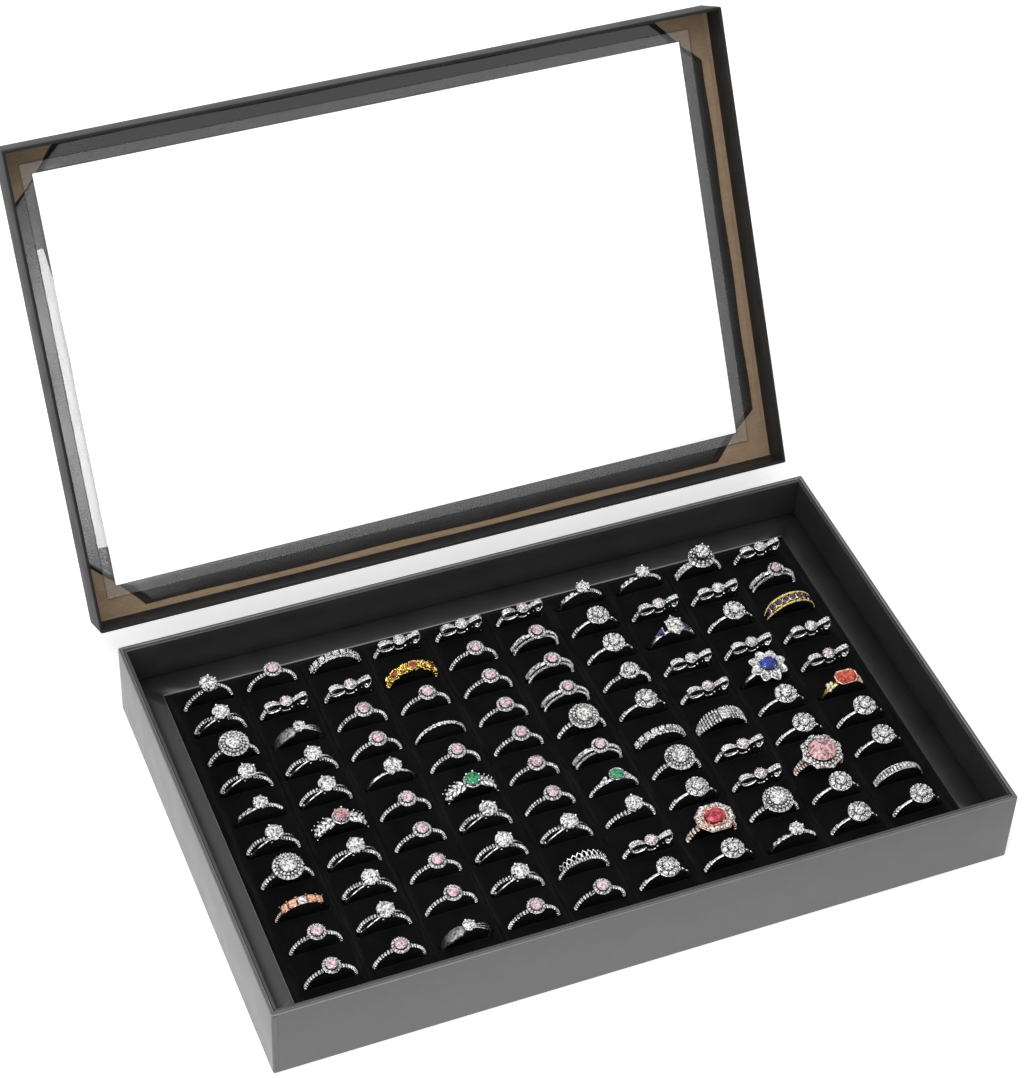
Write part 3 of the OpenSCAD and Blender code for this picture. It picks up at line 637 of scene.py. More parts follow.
def blue_flower():
    """A blue stone in eight pointed petals, each a rim of metal round two set stones."""
    a = once_round(18)
    leaf = np.stack([2.75 * np.cos(a), 2.45 * np.sin(a) * (1 - 0.36 * np.cos(a))], -1)
    edge = prism(leaf, [(-0.5, 0.75), (-0.2, 1), (0.3, 1), (0.42, 0.9), (0.1, 0.74)], "silver")
    spots = round_about(8, 5.35, RING_R + 1.7, 8, 12)
    out = hoop(taper(1.1, 2.1, 60), "silver") + basket(3.2, 9.0, -0.4, 1.4) + placed(edge, *spots)
    out += chips(2.5, [m @ shift(-0.35, 0, 0.3) for m in spots])
    out += chips(1.15, [m @ shift(1.25, 0, 0.3) for m in spots])
    out += beads(0.55, [m @ shift(-0.2, y, 0.42) for m in spots for y in (-1.45, 1.45)])
    out += halo(3.9, 18, 0.95, 2.5, tilt=10) + claws(4, 2.6, 3.3, 1.9, 3.3, 4.2, 0.62, phase=35)
    return out + stones(7.4, [on_top(3.3)], "blue", 0.9, 0.84)


def plain_band():
    """A broad brushed shoulder on one side and slim strands on the other, with one clawed stone."""
    swell = lambda d: 1.8 + 3.0 * np.clip((-d - 8) / 10, 0, 1) * np.clip((92 + d) / 40, 0, 1)
    rise = lambda d: np.where(d < 0, 0.1, -0.45) * np.clip(1 - np.abs(d) / 85, 0, 1)
    out = hoop(lambda d: np.where(d < 0, swell(d), 0.8) + 0.2, "brushed", lambda d: RING_R + rise(d))
    for y in (-1.25, 0.0, 1.25):
        fan = lambda d: y * np.sin(np.pi / 2 * np.clip((d - 4) / 40, 0, 1))
        out += arc_rod(8, 86, RING_R - 0.15, 0.75, 0.7, "silver", fan)
    return out + basket(2.8, 4.4, -0.4, 0.9) + head(4.9, 1.6, 4, 20)


def leaf_vine(stone="green"):
    """A coloured stone among pairs of leaves and round stones that climb both sides of the band."""
    stem = lambda d: 0.5 * np.sin(np.radians(d * 7))
    out = shank(60) + arc_rod(-74, 74, RING_R - 0.5, 0.9, 0.9, "silver", stem, 40)
    for side in (-1, 1):
        for k, at in enumerate((23.0, 36.0, 49.0, 62.0)):
            for way in (1, -1):
                m = turn("Y", side * (at + 3 * way)) @ shift(0, 1.45 * way, RING_R + 0.45)
                m = m @ turn("Z", side * 42 * way) @ turn("X", -14 * way)
                out += placed(leaf_shape(4.3 - 0.3 * k, 2.0, "silver", 0.7), m)
                out += beads(0.8, [m @ shift(side * 2.1, 0, 0.3)])
            m = along([side * (at + 6)], 0.35 * (-1) ** k, 0.75)[0]
            out += chips(1.7, [m]) + placed(wire_ring(0.85, 0.34, -0.1, "silver", 12), m)
    out += basket(3.0, 5.6, -0.4, 1.4) + halo(3.1, 10, 1.0, 1.9)
    return out + head(6.3, 2.8, 6, 12, stone, 0.9, 0.92)


def gold_vine():
    """Gold grains and small leaves in a thick wreath, with three dark red stones."""
    seed = np.random.default_rng(31)
    out = hoop(2.6, "gold", RING_R - 0.5)
    angles, rows = np.meshgrid(np.arange(-80, 81, 4.4), (-1.7, -0.85, 0.0, 0.85, 1.7), indexing="ij")
    angles = angles.ravel() + seed.uniform(-1.8, 1.8, angles.size)
    rows = rows.ravel() + seed.uniform(-0.3, 0.3, rows.size)
    lift = 0.55 - 0.16 * rows**2 + seed.uniform(-0.25, 0.35, rows.size)
    sizes = seed.uniform(0.75, 1.15, (rows.size, 3))
    spots = [m @ shift(0, 0, h) @ scale(*k) for m, h, k in zip(along(angles, rows), lift, sizes)]
    out += beads(1.15, spots, "gold")
    for k, at in enumerate(np.arange(-72, 73, 12.0)):
        side = (-1) ** k
        m = turn("Y", at) @ shift(0, side * 1.3, RING_R + 0.7) @ turn("Z", side * 40)
        out += placed(leaf_shape(3.2, 1.4, "gold", 0.7), m)
    for m in along([-44.0, 0.0, 44.0], 0.0, 1.1):
        out += stones(3.6, [m], "garnet", 0.8, 0.85) + placed(wire_ring(1.85, 0.5, -0.1, "gold", 16), m)
        out += four_grains(m, 1.85, "gold", 0.85)
    return out


def stone_band():
    """Round stones side by side over the top of the band, a smaller one in every gap in front."""
    at = np.arange(-68, 69, 17.0)
    out = shank(50) + hoop(taper(2.0, 1.9), "silver", RING_R - 0.45)
    for m in along(at, 0.35, 0.7):
        out += stones(2.75, [m], "clear", 0.8) + four_grains(m, 1.35, "silver", 0.7)
    seat = lathe([[0.9, -0.9], [1.36, 0.0], [1.1, 0.12]], 12, "silver")
    out += placed(seat, *along(at, 0.35, 0.5)) + chips(1.3, along(at[:-1] + 8.5, -1.35, 0.25))
    return out + beads(0.7, along(at, -1.5, 0.1))


def wavy_band():
    """Two strands twisted like a rope over a dark metal core that is painted shade between them,
    with small stones between them.
    """
    # painted shade: the core is dark metal
    out = hoop(1.1, "recess", RING_R - 0.5)
    for side in (-1, 1):
        wave = lambda d: side * 0.62 * np.sin(np.radians(d * 15.0))
        out += arc_rod(-88, 88, RING_R - 0.2, 0.85, 0.75, "silver", wave, 90)
    return out + chips(1.25, along(np.arange(-84, 85, 6.0), 0.0, 0.22))


def scroll_band():
    """A slim set band with open scrolls standing along its back edge, highest in the middle."""
    out = shank(70) + strand(-82, 82, 1.1, -0.9, across=1.1)
    a = once_round(14)
    for at in np.arange(-60, 61, 12.0):
        tall = 1.75 - 0.5 * np.abs(at) / 60
        loop = np.stack([0.92 * np.cos(a), 0 * a, tall * 0.72 * np.sin(a)], -1)
        m = along([at], 0.2 + tall * 0.5, 0.0)[0] @ turn("X", -78)
        out += placed(tube(loop, 0.5, 0.42, "silver", True), m)
        out += beads(0.75, [m @ shift(0, 0, 0.9 * tall)]) + beads(0.5, [m @ shift(1.0, 0, 0.3)])
    return out


def wide_band():
    """Upright bars of stones right across a broad band, with dark metal between the bars as painted
    shade, and a raised square of stones at the top."""
    at = np.r_[np.arange(-84, -14, 7.6), np.arange(16, 85, 7.6)]
    across = broad(2.2, 3.6, 96, 50)
    # painted shade: the band under the bars is dark metal
    out = hoop(across, "recess", RING_R - 0.25)
    for row in (-1.5, -0.5, 0.5, 1.5):
        spots = along(at, row * across(at) / 4.3, 0.12)
        out += chips(1.35, [m @ scale(0.82, 1.05, 1) for m in spots])
    out += beads(0.85, along(at, across(at) / 2, -0.05) + along(at, -across(at) / 2, -0.05))
    out += table(4.2, 5.8, 0.7, [(-0.6, 0.9), (0.3, 1), (0.55, 0.94)], "silver", True)
    spots = [shift(x, y, RING_R + 0.75) for x in (-1.25, 0, 1.25) for y in (-1.9, -0.65, 0.65, 1.9)]
    return out + chips(1.3, spots) + beads(0.5, [m @ shift(0.62, 0.62, 0.05) for m in spots])


def baguette_band():
    """Long stones side by side across the band between two low rails, with dark metal between the
    stones as painted shade.
    """
    # painted shade: the band under the stones is dark metal
    out = shank(66) + hoop(2.5, "recess", RING_R - 0.3)
    out += placed(flat_block(0.42, 1.15, 0.42), *along(np.arange(-75, 76, 7.5)))
    for y in (-1.45, 1.45):
        out += arc_rod(-80, 80, RING_R - 0.05, 0.7, 0.45, "silver", y)
    return out


def sapphire_band():
    """A broad gold band of open rings, a dark blue stone in each, with small clear stones and gold
    grains along both rails."""
    across = broad(2.4, 3.0, 100, 45)
    at = np.arange(-66, 67, 16.5)
    # painted shade: the band under the open rings is dark metal, standing for the shadow inside them
    out = hoop(lambda d: across(d) - 1.0, "recess", RING_R - 0.35) + shank(80, "gold", 2.3)
    for side in (-1, 1):
        rail = lambda d: side * (across(d) / 2 - 0.4)
        out += arc_rod(-88, 88, RING_R - 0.05, 1.0, 1.0, "gold", rail, 48)
    seat = lathe([[1.1, -0.5], [1.62, 0.0], [1.55, 0.4], [1.1, 0.35]], 16, "gold")
    for m in along(at, 0, 0.05):
        out += placed(seat, m) + stones(2.6, [m @ shift(0, 0, 0.5)], "navy", 0.8)
        out += four_grains(m, 1.4, "gold", 0.85)
    leaf = lathe([[0.3, -0.5], [0.55, 0.1], [0.3, 0.4]], 8, "gold")
    gaps = along(at[:-1] + 8.25)
    out += placed(leaf, *[m @ turn("Z", t) @ scale(3.2, 0.9, 1) for m in gaps for t in (58, -58)])
    edge = np.arange(-84, 85, 8.25)
    for side in (-1, 1):
        y = side * (across(edge) / 2 - 0.4)
        out += chips(0.95, along(edge, y, 0.5), "pale_gold")
        out += beads(0.85, along(edge + 4.1, y, 0.45), "gold")
    return out


def rose_lattice():
    """Five box stones standing in a rosy lattice, the middle one clear, on thin set shanks."""
    out = shank(60, "rose", 1.5) + strand(-84, -44, 1.05, metal="rose", across=1.1)
    out += arc_rod(40, 84, RING_R - 0.35, 0.9, 1.1, "rose")
    for y in (-1.35, 1.35):
        out += arc_rod(-48, 48, RING_R - 0.1, 0.8, 0.55, "rose", y)
    pin = rod([0, 1.5, 0.0], [0, 1.75, 1.05], 0.2, 0.24, "rose")
    for at, w in ((-40, 2.9), (-20.5, 3.2), (0, 3.4), (20.5, 3.2), (40, 2.9)):
        m = along([at], 0, 0.15)[0]
        box = [(-0.5, 0.85), (0.5, 1.0), (0.95, 0.7)]
        out += placed(prism(cut_square(w, 3.4, 0.6), box, "peach" if at else "clear", False), m)
        out += placed(pin, m @ shift(-w / 2 - 0.15, 0, 0), m @ shift(w / 2 + 0.15, 0, 0))
        arch = [[x * (w / 2 + 0.1), 0, z] for x, z in ((-1, -0.2), (-1, 0.7), (1, 0.7), (1, -0.2))]
        out += placed(tube(arch, 0.4, 0.36, "rose"), m @ shift(0, -1.75, 0))
    return out


def marquise():
    """A long six-sided stone across the band, with blue three-cornered stones at its ends."""
    out = hoop(taper(1.0, 2.0, 60), "silver", RING_R - 0.3) + basket(2.6, 5.2, -0.4, 1.3)
    t = np.arange(6) * np.pi / 3 + np.pi / 6
    hexagon = np.stack([3.8 * np.cos(t), 4.8 * np.sin(t)], -1)
    cut = [(0, 0.4), (1.1, 1), (1.5, 0.99), (2.1, 0.78), (2.5, 0.5)]
    out += placed(prism(hexagon, cut, "clear", False), on_top(1.3))
    out += beads(0.95, [shift(x, y, RING_R + 2.8) for x, y in hexagon])
    for side in (-1, 1):
        three = np.array([[-2.0, -2.0], [2.2, 0.0], [-2.0, 2.0]]) * [side, 1]
        m = turn("Y", side * 33) @ on_top(0.5)
        out += placed(prism(three, [(-0.6, 0.7), (0.3, 1.1), (0.42, 1.02)], "silver", False), m)
        out += placed(prism(three, [(0.3, 0.9), (0.55, 0.86), (0.95, 0.5)], "navy", False), m)
    return out + beads(0.7, along([48, 56, 64], 0.6, 0.1) + along([48, 56, 64], -0.6, 0.1))


def green_stone():
    """A green stone in a ring of grains, three clustered stones on each side, on a set band."""
    out = shank(66) + strand(-82, -44, 1.15) + strand(44, 80, 1.1)
    out += hoop(taper(1.2, 1.8), "silver", RING_R - 0.5)
    for side in (-1, 1):
        for m in along(side * np.array([24, 24, 33]), [0.85, -0.85, 0.0], 0.45):
            out += stones(1.75, [m]) + beads(0.6, [m @ shift(side * 0.9, 0, 0.1)])
    oval = scale(1, 0.9, 1)
    out += basket(2.6, 4.8, -0.4, 1.2) + placed(wire_ring(2.95, 0.5, RING_R + 2.0), oval)
    out += beads(0.62, [oval @ m for m in round_about(18, 3.0, RING_R + 2.2)])
    out += stones(5.3, [on_top(2.3)], "green", 0.8, 0.88)
    return out + claws(4, 1.8, 2.6, 1.5, 2.4, 3.0, 0.5, phase=25)


def red_square():
    """A red cushion stone on a stepped eight-sided rosy plate set with stones."""
    out = shank(66, "rose", 2.6) + strand(-84, -42, 1.9, metal="rose", across=1.5)
    out += strand(42, 84, 1.9, metal="rose", across=1.5) + basket(3.6, 9.0, -0.4, 1.1, "rose")
    out += table(15.6, 12.6, 4.0, [(0.9, 0.84), (1.3, 1), (1.8, 1), (2.0, 0.97), (1.7, 0.93)], "rose")
    around, inner = cut_square(12.9, 10.2, 3.3), cut_square(9.3, 7.2, 2.1)
    follow = np.roll(around, -1, 0)
    for share in (0.0, 0.33, 0.67):
        spots = around * (1 - share) + follow * share
        out += stones(1.95, [shift(x, y, RING_R + 2.1) for x, y in spots])
    spots = (around * 0.83 + follow * 0.17) * 1.04
    out += beads(0.6, [shift(x, y, RING_R + 2.15) for x, y in spots], "rose")
    out += table(10.0, 7.8, 2.3, [(1.8, 0.98), (2.5, 1), (2.75, 0.94), (2.6, 0.8)], "rose")
    spots = np.concatenate([inner, (inner + np.roll(inner, -1, 0)) / 2])
    out += beads(0.55, [shift(x, y, RING_R + 2.85) for x, y in spots])
    out += claws(4, 3.0, 4.0, 1.6, 3.2, 4.0, 0.6, "rose", 35)
    return out + table(8.0, 6.0, 1.5, [(2.4, 0.9), (3.1, 1), (3.4, 0.96), (4.0, 0.7), (4.1, 0.6)], "red")


def octagon():
    """A step-cut orange stone in a thick smooth rim, a cluster of pale stones at each end."""
    out = hoop(taper(1.5, 2.1), "gold", RING_R - 0.3) + basket(3.0, 6.0, -0.4, 1.0, "gold")
    rim = [(0.6, 0.8), (1.0, 0.98), (1.9, 1), (2.3, 0.97), (2.45, 0.9), (2.1, 0.82)]
    out += table(9.8, 7.0, 1.9, rim, "rose", True)
    for side in (-1, 1):
        spots = along(side * np.array([33, 33, 42, 42, 42]), [0.9, -0.9, 0.0, 1.3, -1.3], 0.3)
        for m in spots:
            out += stones(1.7, [m], "pale_gold")
    return out + table(8.1, 5.4, 1.5, [(1.8, 0.95), (2.4, 1), (2.9, 0.84), (3.1, 0.62)], "orange")


# letter on the layout, what draws it, and its name where another design shares the CAD node
DESIGNS = {
    "S": solitaire, "O": round_solitaire, "o": bypass_solitaire, "T": twisted_solitaire,
    "t": tiered_solitaire, "s": star_solitaire, "P": pink_halo, "p": pink_halo_pair,
    "H": cushion_halo, "D": double_halo, "K": heart_halo, "B": bow, "F": flower,
    "A": blue_flower, "N": plain_band, "L": lambda: leaf_vine("rosy"), "V": leaf_vine,
    "G": gold_vine, "M": stone_band, "W": wavy_band, "C": scroll_band, "X": wide_band,
    "I": baguette_band, "Z": sapphire_band, "R": rose_lattice, "U": marquise,
    "E": green_stone, "Q": red_square, "J": octagon,
}
SHARED_NODE = {"o": "round_solitaire", "p": "pink_halo", "L": "leaf_vine"}
METAL_SLOT = {"D": "rose", "R": "rose", "Q": "rose", "G": "gold", "Z": "gold", "J": "gold"}


# ---- finishes ----

WHITE, BLACK = (1, 1, 1), (0, 0, 0)


class Finish:
    """A material's node tree with short calls for the nodes that the finishes below share."""

    def __init__(self, name, **sockets):
        self.material = bpy.data.materials.new(name)
        self.material.use_nodes = True
        self.tree = self.material.node_tree
        self.shader = self.tree.nodes["Principled BSDF"]
        self.place = self.node("ShaderNodeTexCoord").outputs["Object"]
        for key, value in sockets.items():
            self.shader.inputs[key.replace("_", " ")].default_value = value

    def feed(self, socket, value):
        """Links a socket to an output, or sets it; a colour of three numbers gets a fourth."""
        if isinstance(value, bpy.types.NodeSocket):
            self.tree.links.new(value, socket)
        else:
            socket.default_value = (*value, 1.0) if socket.type == "RGBA" else value

    def node(self, kind, **inputs):
        """A new node with its sockets fed."""
        made = self.tree.nodes.new(kind)
        for key, value in inputs.items():
            self.feed(made.inputs[key.replace("_", " ")], value)
        return made

    def noise(self, size_mm, detail=4.0, rough=0.55, stretch=(1, 1, 1)):
        """Soft noise whose lumps are about size_mm across, stretched along the axes."""
        place = self.node("ShaderNodeMapping", Vector=self.place, Scale=stretch).outputs[0]
        return self.node("ShaderNodeTexNoise", Vector=place, Scale=MM_PER_M / size_mm, Detail=detail,
                         Roughness=rough).outputs["Fac"]

    def cells(self, size_mm, output="Distance"):
        """Cell pattern whose cells are about size_mm across."""
        place = self.node("ShaderNodeMapping", Vector=self.place).outputs[0]
        return self.node("ShaderNodeTexVoronoi", Vector=place, Scale=MM_PER_M / size_mm).outputs[output]

    def ramp(self, value, *stops):
        """Colour ramp through (place, colour) stops; a colour may be one number for a grey."""
        made = self.node("ShaderNodeValToRGB", Fac=value)
        ramp = made.color_ramp
        while len(ramp.elements) < len(stops):
            ramp.elements.new(1.0)
        for element, (place, colour) in zip(ramp.elements, stops):
            element.position = place
            element.color = (*np.broadcast_to(colour, 3), 1.0)
        return made.outputs["Color"]

    def math(self, kind, a, b=0.0):
        """Arithmetic on two values."""
        made = self.node("ShaderNodeMath")
        made.operation = kind
        for socket, value in zip(made.inputs, (a, b)):
            self.feed(socket, value)
        return made.outputs[0]

    def blend(self, a, share, b):
        """Two values added, the second multiplied by its share and the first by the rest."""
        return self.math("ADD", self.math("MULTIPLY", a, 1 - share), self.math("MULTIPLY", b, share))

    def mix(self, share, a, b):
        """Blend of two colours."""
        made = self.node("ShaderNodeMix")
        made.data_type = "RGBA"
        for socket, value in ((0, share), (6, a), (7, b)):
            self.feed(made.inputs[socket], value)
        return made.outputs[2]

    def set(self, socket, value):
        """Links a value to one of the shader's sockets."""
        self.tree.links.new(value, self.shader.inputs[socket])

    def bump(self, value, depth_mm, strength):
        """Small relief from a value, depth in millimetres; gives back the finished material."""
        made = self.node("ShaderNodeBump", Height=value, Distance=depth_mm / MM_PER_M, Strength=strength)
        self.set("Normal", made.outputs[0])
        return self.material


def grained_paper(name="grained_paper", dark=0.022, rough=0.38, gloss=0.5):
    """Black wrapping paper with a fine pressed grain and a satin skin."""
    f = Finish(name, IOR=1.6, Specular_IOR_Level=gloss)
    grain, cloud = f.cells(0.55), f.noise(14.0, 3.0)
    tone = f.math("ADD", f.math("MULTIPLY", grain, 0.35), f.math("MULTIPLY", cloud, 0.65))
    f.set("Base Color", f.ramp(tone, (0.2, dark * 0.75), (0.8, (dark * 1.35, dark * 1.36, dark * 1.36))))
    f.set("Roughness", f.ramp(cloud, (0.3, rough * 0.9), (0.7, rough * 1.1)))
    return f.bump(f.math("ADD", grain, f.math("MULTIPLY", f.noise(0.25, 2.0), 0.6)), 0.02, 0.5)


def board(name, pale, deep, fleck):
    """Raw board: pulp clouds, small flecks and short fibres."""
    f = Finish(name, Roughness=0.88, Specular_IOR_Level=0.25)
    cloud, fibre = f.noise(6.0), f.noise(0.9, 3.0, 0.6, (0.25, 1, 1))
    base = f.ramp(f.blend(cloud, 0.5, fibre), (0.3, deep), (0.7, pale))
    spots = f.ramp(f.cells(2.2), (0.0, WHITE), (0.09, BLACK))
    f.set("Base Color", f.mix(f.math("MULTIPLY", spots, 0.35), base, fleck))
    return f.bump(fibre, 0.05, 0.4)


def velvet():
    """Black velvet: short pile with a soft sheen, and paler streaks painted into the colour where
    strips meet, a painted sheen of the brushed pile.
    """
    f = Finish("velvet_foam", Roughness=0.95, Specular_IOR_Level=0.06, Sheen_Weight=0.04,
               Sheen_Roughness=0.45, Sheen_Tint=(0.55, 0.57, 0.6, 1.0))
    pile = f.noise(0.5, 3.0)
    lint = f.noise(9.0, 4.0, 0.6, (1.0, 0.45, 1))
    painted_sheen_streak = f.noise(3.0, 4.0, 0.7, (1, 0.14, 1))
    x = f.node("ShaderNodeSeparateXYZ", Vector=f.place).outputs["X"]
    strip = f.math("FRACT", f.math("ADD", f.math("DIVIDE", x, PITCH_X / MM_PER_M), 50.0))
    edge = f.math("ABSOLUTE", f.math("SUBTRACT", strip, 0.5))
    near = f.ramp(edge, (0.40, BLACK), (0.485, WHITE))
    lift = f.math("MULTIPLY", near, f.ramp(painted_sheen_streak, (0.42, BLACK), (0.68, WHITE)))
    base = f.ramp(f.blend(pile, 0.5, lint), (0.35, (0.0016, 0.0016, 0.0018)),
                  (0.7, (0.0055, 0.0056, 0.0058)))
    # painted sheen: the colour is lifted in streaks near the strip edges
    f.set("Base Color", f.mix(lift, base, (0.012, 0.0122, 0.0125)))
    return f.bump(f.math("ADD", pile, lint), 0.14, 0.5)


def plated(name, colour, rough=0.16):
    """Cast and polished metal: fine swirls, a little unevenness, and painted shade: the colour falls
    to a quarter in the low spots of the relief.
    """
    f = Finish(name, Metallic=1.0)
    cloud, fine = f.noise(1.0, 3.0), f.noise(0.3, 2.0)
    # painted shade: the colour dims to a quarter where the relief is low
    painted_shade_tone = tuple(c * 0.24 for c in colour)
    f.set("Base Color", f.ramp(cloud, (0.39, painted_shade_tone), (0.55, colour)))
    f.set("Roughness", f.ramp(fine, (0.3, rough * 0.7), (0.7, rough * 1.5)))
    return f.bump(f.math("ADD", cloud, f.math("MULTIPLY", fine, 0.4)), 0.09, 0.6)


def gem(name, bright, deep, cell=0.62):
    """Cut stone: cells of light and dark painted into its colour, a painted sparkle that stands for
    the reflections its back facets show through the front.
    """
    f = Finish(name, Roughness=0.08, IOR=1.5)
    painted_sparkle = f.node("ShaderNodeSeparateColor", Color=f.cells(cell, "Color")).outputs[0]
    small = f.node("ShaderNodeSeparateColor", Color=f.cells(cell * 0.45, "Color")).outputs[1]
    both = f.math("ADD", f.math("MULTIPLY", painted_sparkle, 0.6), f.math("MULTIPLY", small, 0.4))
    mid = tuple((b + d) / 2 for b, d in zip(bright, deep))
    f.set("Base Color", f.ramp(both, (0.24, deep), (0.46, mid), (0.66, bright)))
    return f.material


def clear_film():
    """Clear plastic sheet, nearly colourless, with faint dust."""
    f = Finish("clear_sheet", Roughness=0.0, IOR=1.46, Transmission_Weight=1.0)
    f.set("Base Color", f.ramp(f.noise(30.0, 5.0, 0.7), (0.3, WHITE), (0.8, (0.985, 0.99, 0.99))))
    return f.material


# the papers differ in tone, roughness and gloss, set to the look of each side of the box: one black
# paper, painted lighter on the outer walls as painted light, painted darker on the shaded inner walls and
# the lid as painted shade, and lighter along folds as wear and painted highlight
FINISHES = {
    "paper": grained_paper(),
    "kraft": board("kraft_board", (0.34, 0.25, 0.17), (0.24, 0.17, 0.11), (0.12, 0.08, 0.05)),
    "grey": board("grey_board", (0.30, 0.29, 0.27), (0.21, 0.20, 0.185), (0.10, 0.09, 0.08)),
    "stay": board("stay_paper", (0.46, 0.38, 0.28), (0.38, 0.31, 0.22), (0.25, 0.2, 0.14)),
    "velvet": velvet(),
    "film": clear_film(),
    # the clear sheet's cut edge as dark opaque paper: the edge line, with painted shade for its shadow
    "film_edge": grained_paper("clear_sheet_edge_painted_shade", 0.05, 0.5, 0.3),
    # painted shade: the black paper made darker for the lid, which is lit less
    "lid_paper": grained_paper("lid_paper", 0.012, 0.55, 0.14),
    "flap_paper": grained_paper("flap_paper", 0.02, 0.16, 0.6),
    # painted light: the black paper made lighter for the outer walls
    "outer_paper": grained_paper("outer_paper", 0.05, 0.32, 0.7),
    # painted shade: the black paper made darker for the shaded right and front sides
    "inner_paper": grained_paper("inner_paper", 0.014, 0.5, 0.25),
    # wear and painted highlight: the paper made lighter along folds and edges
    "fold": grained_paper("worn_fold_and_painted_highlight", 0.16),
    "silver": plated("silver_plate", (0.83, 0.83, 0.84)),
    # painted shade: silver darkened to near black, laid between stones, bars and strands where shadow
    # falls
    "recess": plated("silver_painted_shade", (0.06, 0.06, 0.063), 0.4),
    "brushed": plated("silver_brushed", (0.3, 0.3, 0.3), 0.38),
    "gold": plated("gold_plate", (1.0, 0.74, 0.22)),
    "rose": plated("rose_plate", (0.93, 0.58, 0.42)),
}
# each stone's bright and deep colours of its painted sparkle and, where it isn't the usual, the size of
# its cells
for kind, look in {
    "clear": ((0.95, 0.95, 0.94), (0.02, 0.02, 0.02)),
    "peach": ((0.95, 0.58, 0.42), (0.4, 0.16, 0.1)),
    "pale_gold": ((0.9, 0.86, 0.6), (0.3, 0.25, 0.1)),
    "pink": ((0.86, 0.66, 0.7), (0.26, 0.14, 0.16)),
    "blush": ((0.97, 0.86, 0.87), (0.28, 0.18, 0.19)),
    "rosy": ((0.82, 0.5, 0.53), (0.2, 0.07, 0.08), 1.0),
    "red": ((0.68, 0.06, 0.11), (0.13, 0.004, 0.012), 0.8),
    "garnet": ((0.4, 0.05, 0.02), (0.07, 0.006, 0.004), 0.8),
    "green": ((0.04, 0.42, 0.19), (0.003, 0.07, 0.025), 0.8),
    "blue": ((0.02, 0.045, 0.42), (0.001, 0.003, 0.07), 0.9),
    "navy": ((0.025, 0.022, 0.2), (0.001, 0.001, 0.02), 0.7),
    "orange": ((0.72, 0.11, 0.06), (0.22, 0.012, 0.008), 0.8),
}.items():
    FINISHES[kind] = gem(kind + "_stone", *look)


def make(name, shape, body, slot, *nodes):
    """Puts a shape into one mesh object in metres at the origin, with a material slot for each
    finish that it uses, and rides it on a CAD body in place of the named nodes."""
    rows, points, start = [], [], 0
    for v, faces, kind, soft in shape:
        kinds = [kind] * len(faces) if isinstance(kind, str) else kind
        rows += [(f + start, one, soft) for f, one in zip(faces, kinds)]
        points.append(v)
        start += len(v)
    used = list(dict.fromkeys(kind for _, kind, _ in rows))
    lengths = [len(f) for f, _, _ in rows]
    corners = np.concatenate([f.ravel() for f, _, _ in rows])
    sizes = np.repeat([f.shape[1] for f, _, _ in rows], lengths)
    mesh = bpy.data.meshes.new(name)
    mesh.vertices.add(start)
    mesh.vertices.foreach_set("co", (np.concatenate(points) / MM_PER_M).astype(np.float32).ravel())
    mesh.loops.add(len(corners))
    mesh.loops.foreach_set("vertex_index", corners.astype(np.int32))
    mesh.polygons.add(len(sizes))
    for key, values in {
        "loop_start": np.r_[0, np.cumsum(sizes)[:-1]].astype(np.int32),
        "material_index": np.repeat([used.index(kind) for _, kind, _ in rows], lengths).astype(np.int32),
        "use_smooth": np.repeat([soft for _, _, soft in rows], lengths).astype(bool),
    }.items():
        mesh.polygons.foreach_set(key, values)
    for kind in used:
        mesh.materials.append(FINISHES[kind])
    mesh.update(calc_edges=True)
    mesh.validate()
    piece = bpy.data.objects.new(name, mesh)
    bpy.context.scene.collection.objects.link(piece)
    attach(piece, body)
    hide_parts(*nodes)
    return piece


# ---- base ----

WAYS = {"back": 0, "front": 180, "right": -90, "left": 90}  # a strip drawn at the back is turned


def rectangle_round(w, d, inward, radius, corner_steps=8, side_steps=40):
    """Points round a rectangle with rounded corners, drawn in by the inward distance. A corner's
    radius falls by that distance until it is nearly sharp; sides are straight between corners."""
    rho = max(radius - inward, 0.03)
    corners = []
    for k in range(4):
        a = np.radians(90 * k + np.linspace(0, 90, corner_steps + 1))
        cx = (1 if k in (0, 3) else -1) * (w / 2 - inward - rho)
        cy = (1 if k in (0, 1) else -1) * (d / 2 - inward - rho)
        corners.append(np.stack([cx + rho * np.cos(a), cy + rho * np.sin(a)], -1))
    out = []
    for k in range(4):
        a, b = corners[k][-1], corners[(k + 1) % 4][0]
        out += [corners[k], a + (b - a) * np.linspace(0, 1, side_steps + 2)[1:-1, None]]
    return np.concatenate(out)


def wrapped_round(w, d, radius, profile, finish, waver=0.0, folds=()):
    """A closed profile of (inward distance, height) points carried round a rounded rectangle.
    Waver lowers the upper points by a few slow sines of the way round, as board edges waver.
    Folds are the profile's stretches, by number, that get the lighter fold finish, wear and
    painted highlight together."""
    rings = [rectangle_round(w, d, o, radius) for o, _ in profile]
    n = len(rings[0])
    t = np.arange(n) * 2 * np.pi / n
    wave = waver * (np.sin(3 * t + 0.7) + 0.6 * np.sin(7 * t + 2.0) + 0.4 * np.sin(12 * t) - 2)
    points = [np.column_stack([ring, np.full(n, z) + wave * (z > BOX_H / 2)])
              for ring, (_, z) in zip(rings, profile)]
    faces = quads(len(profile), n, True, True)
    worn_and_lit = np.isin(np.arange(len(faces)) // n, folds)
    return shell(points, [faces[~worn_and_lit], faces[worn_and_lit]], [finish, "fold"][:1 + worn_and_lit.any()])


def bend(o0, z0, o1, z1, outward=True):
    """Points of a quarter turn between two profile points; the centre is beside the start."""
    t = np.linspace(0, np.pi / 2, 5)
    a, b = (1 - np.cos(t), np.sin(t)) if outward else (np.sin(t), 1 - np.cos(t))
    return list(zip(o0 + (o1 - o0) * a, z0 + (z1 - z0) * b))


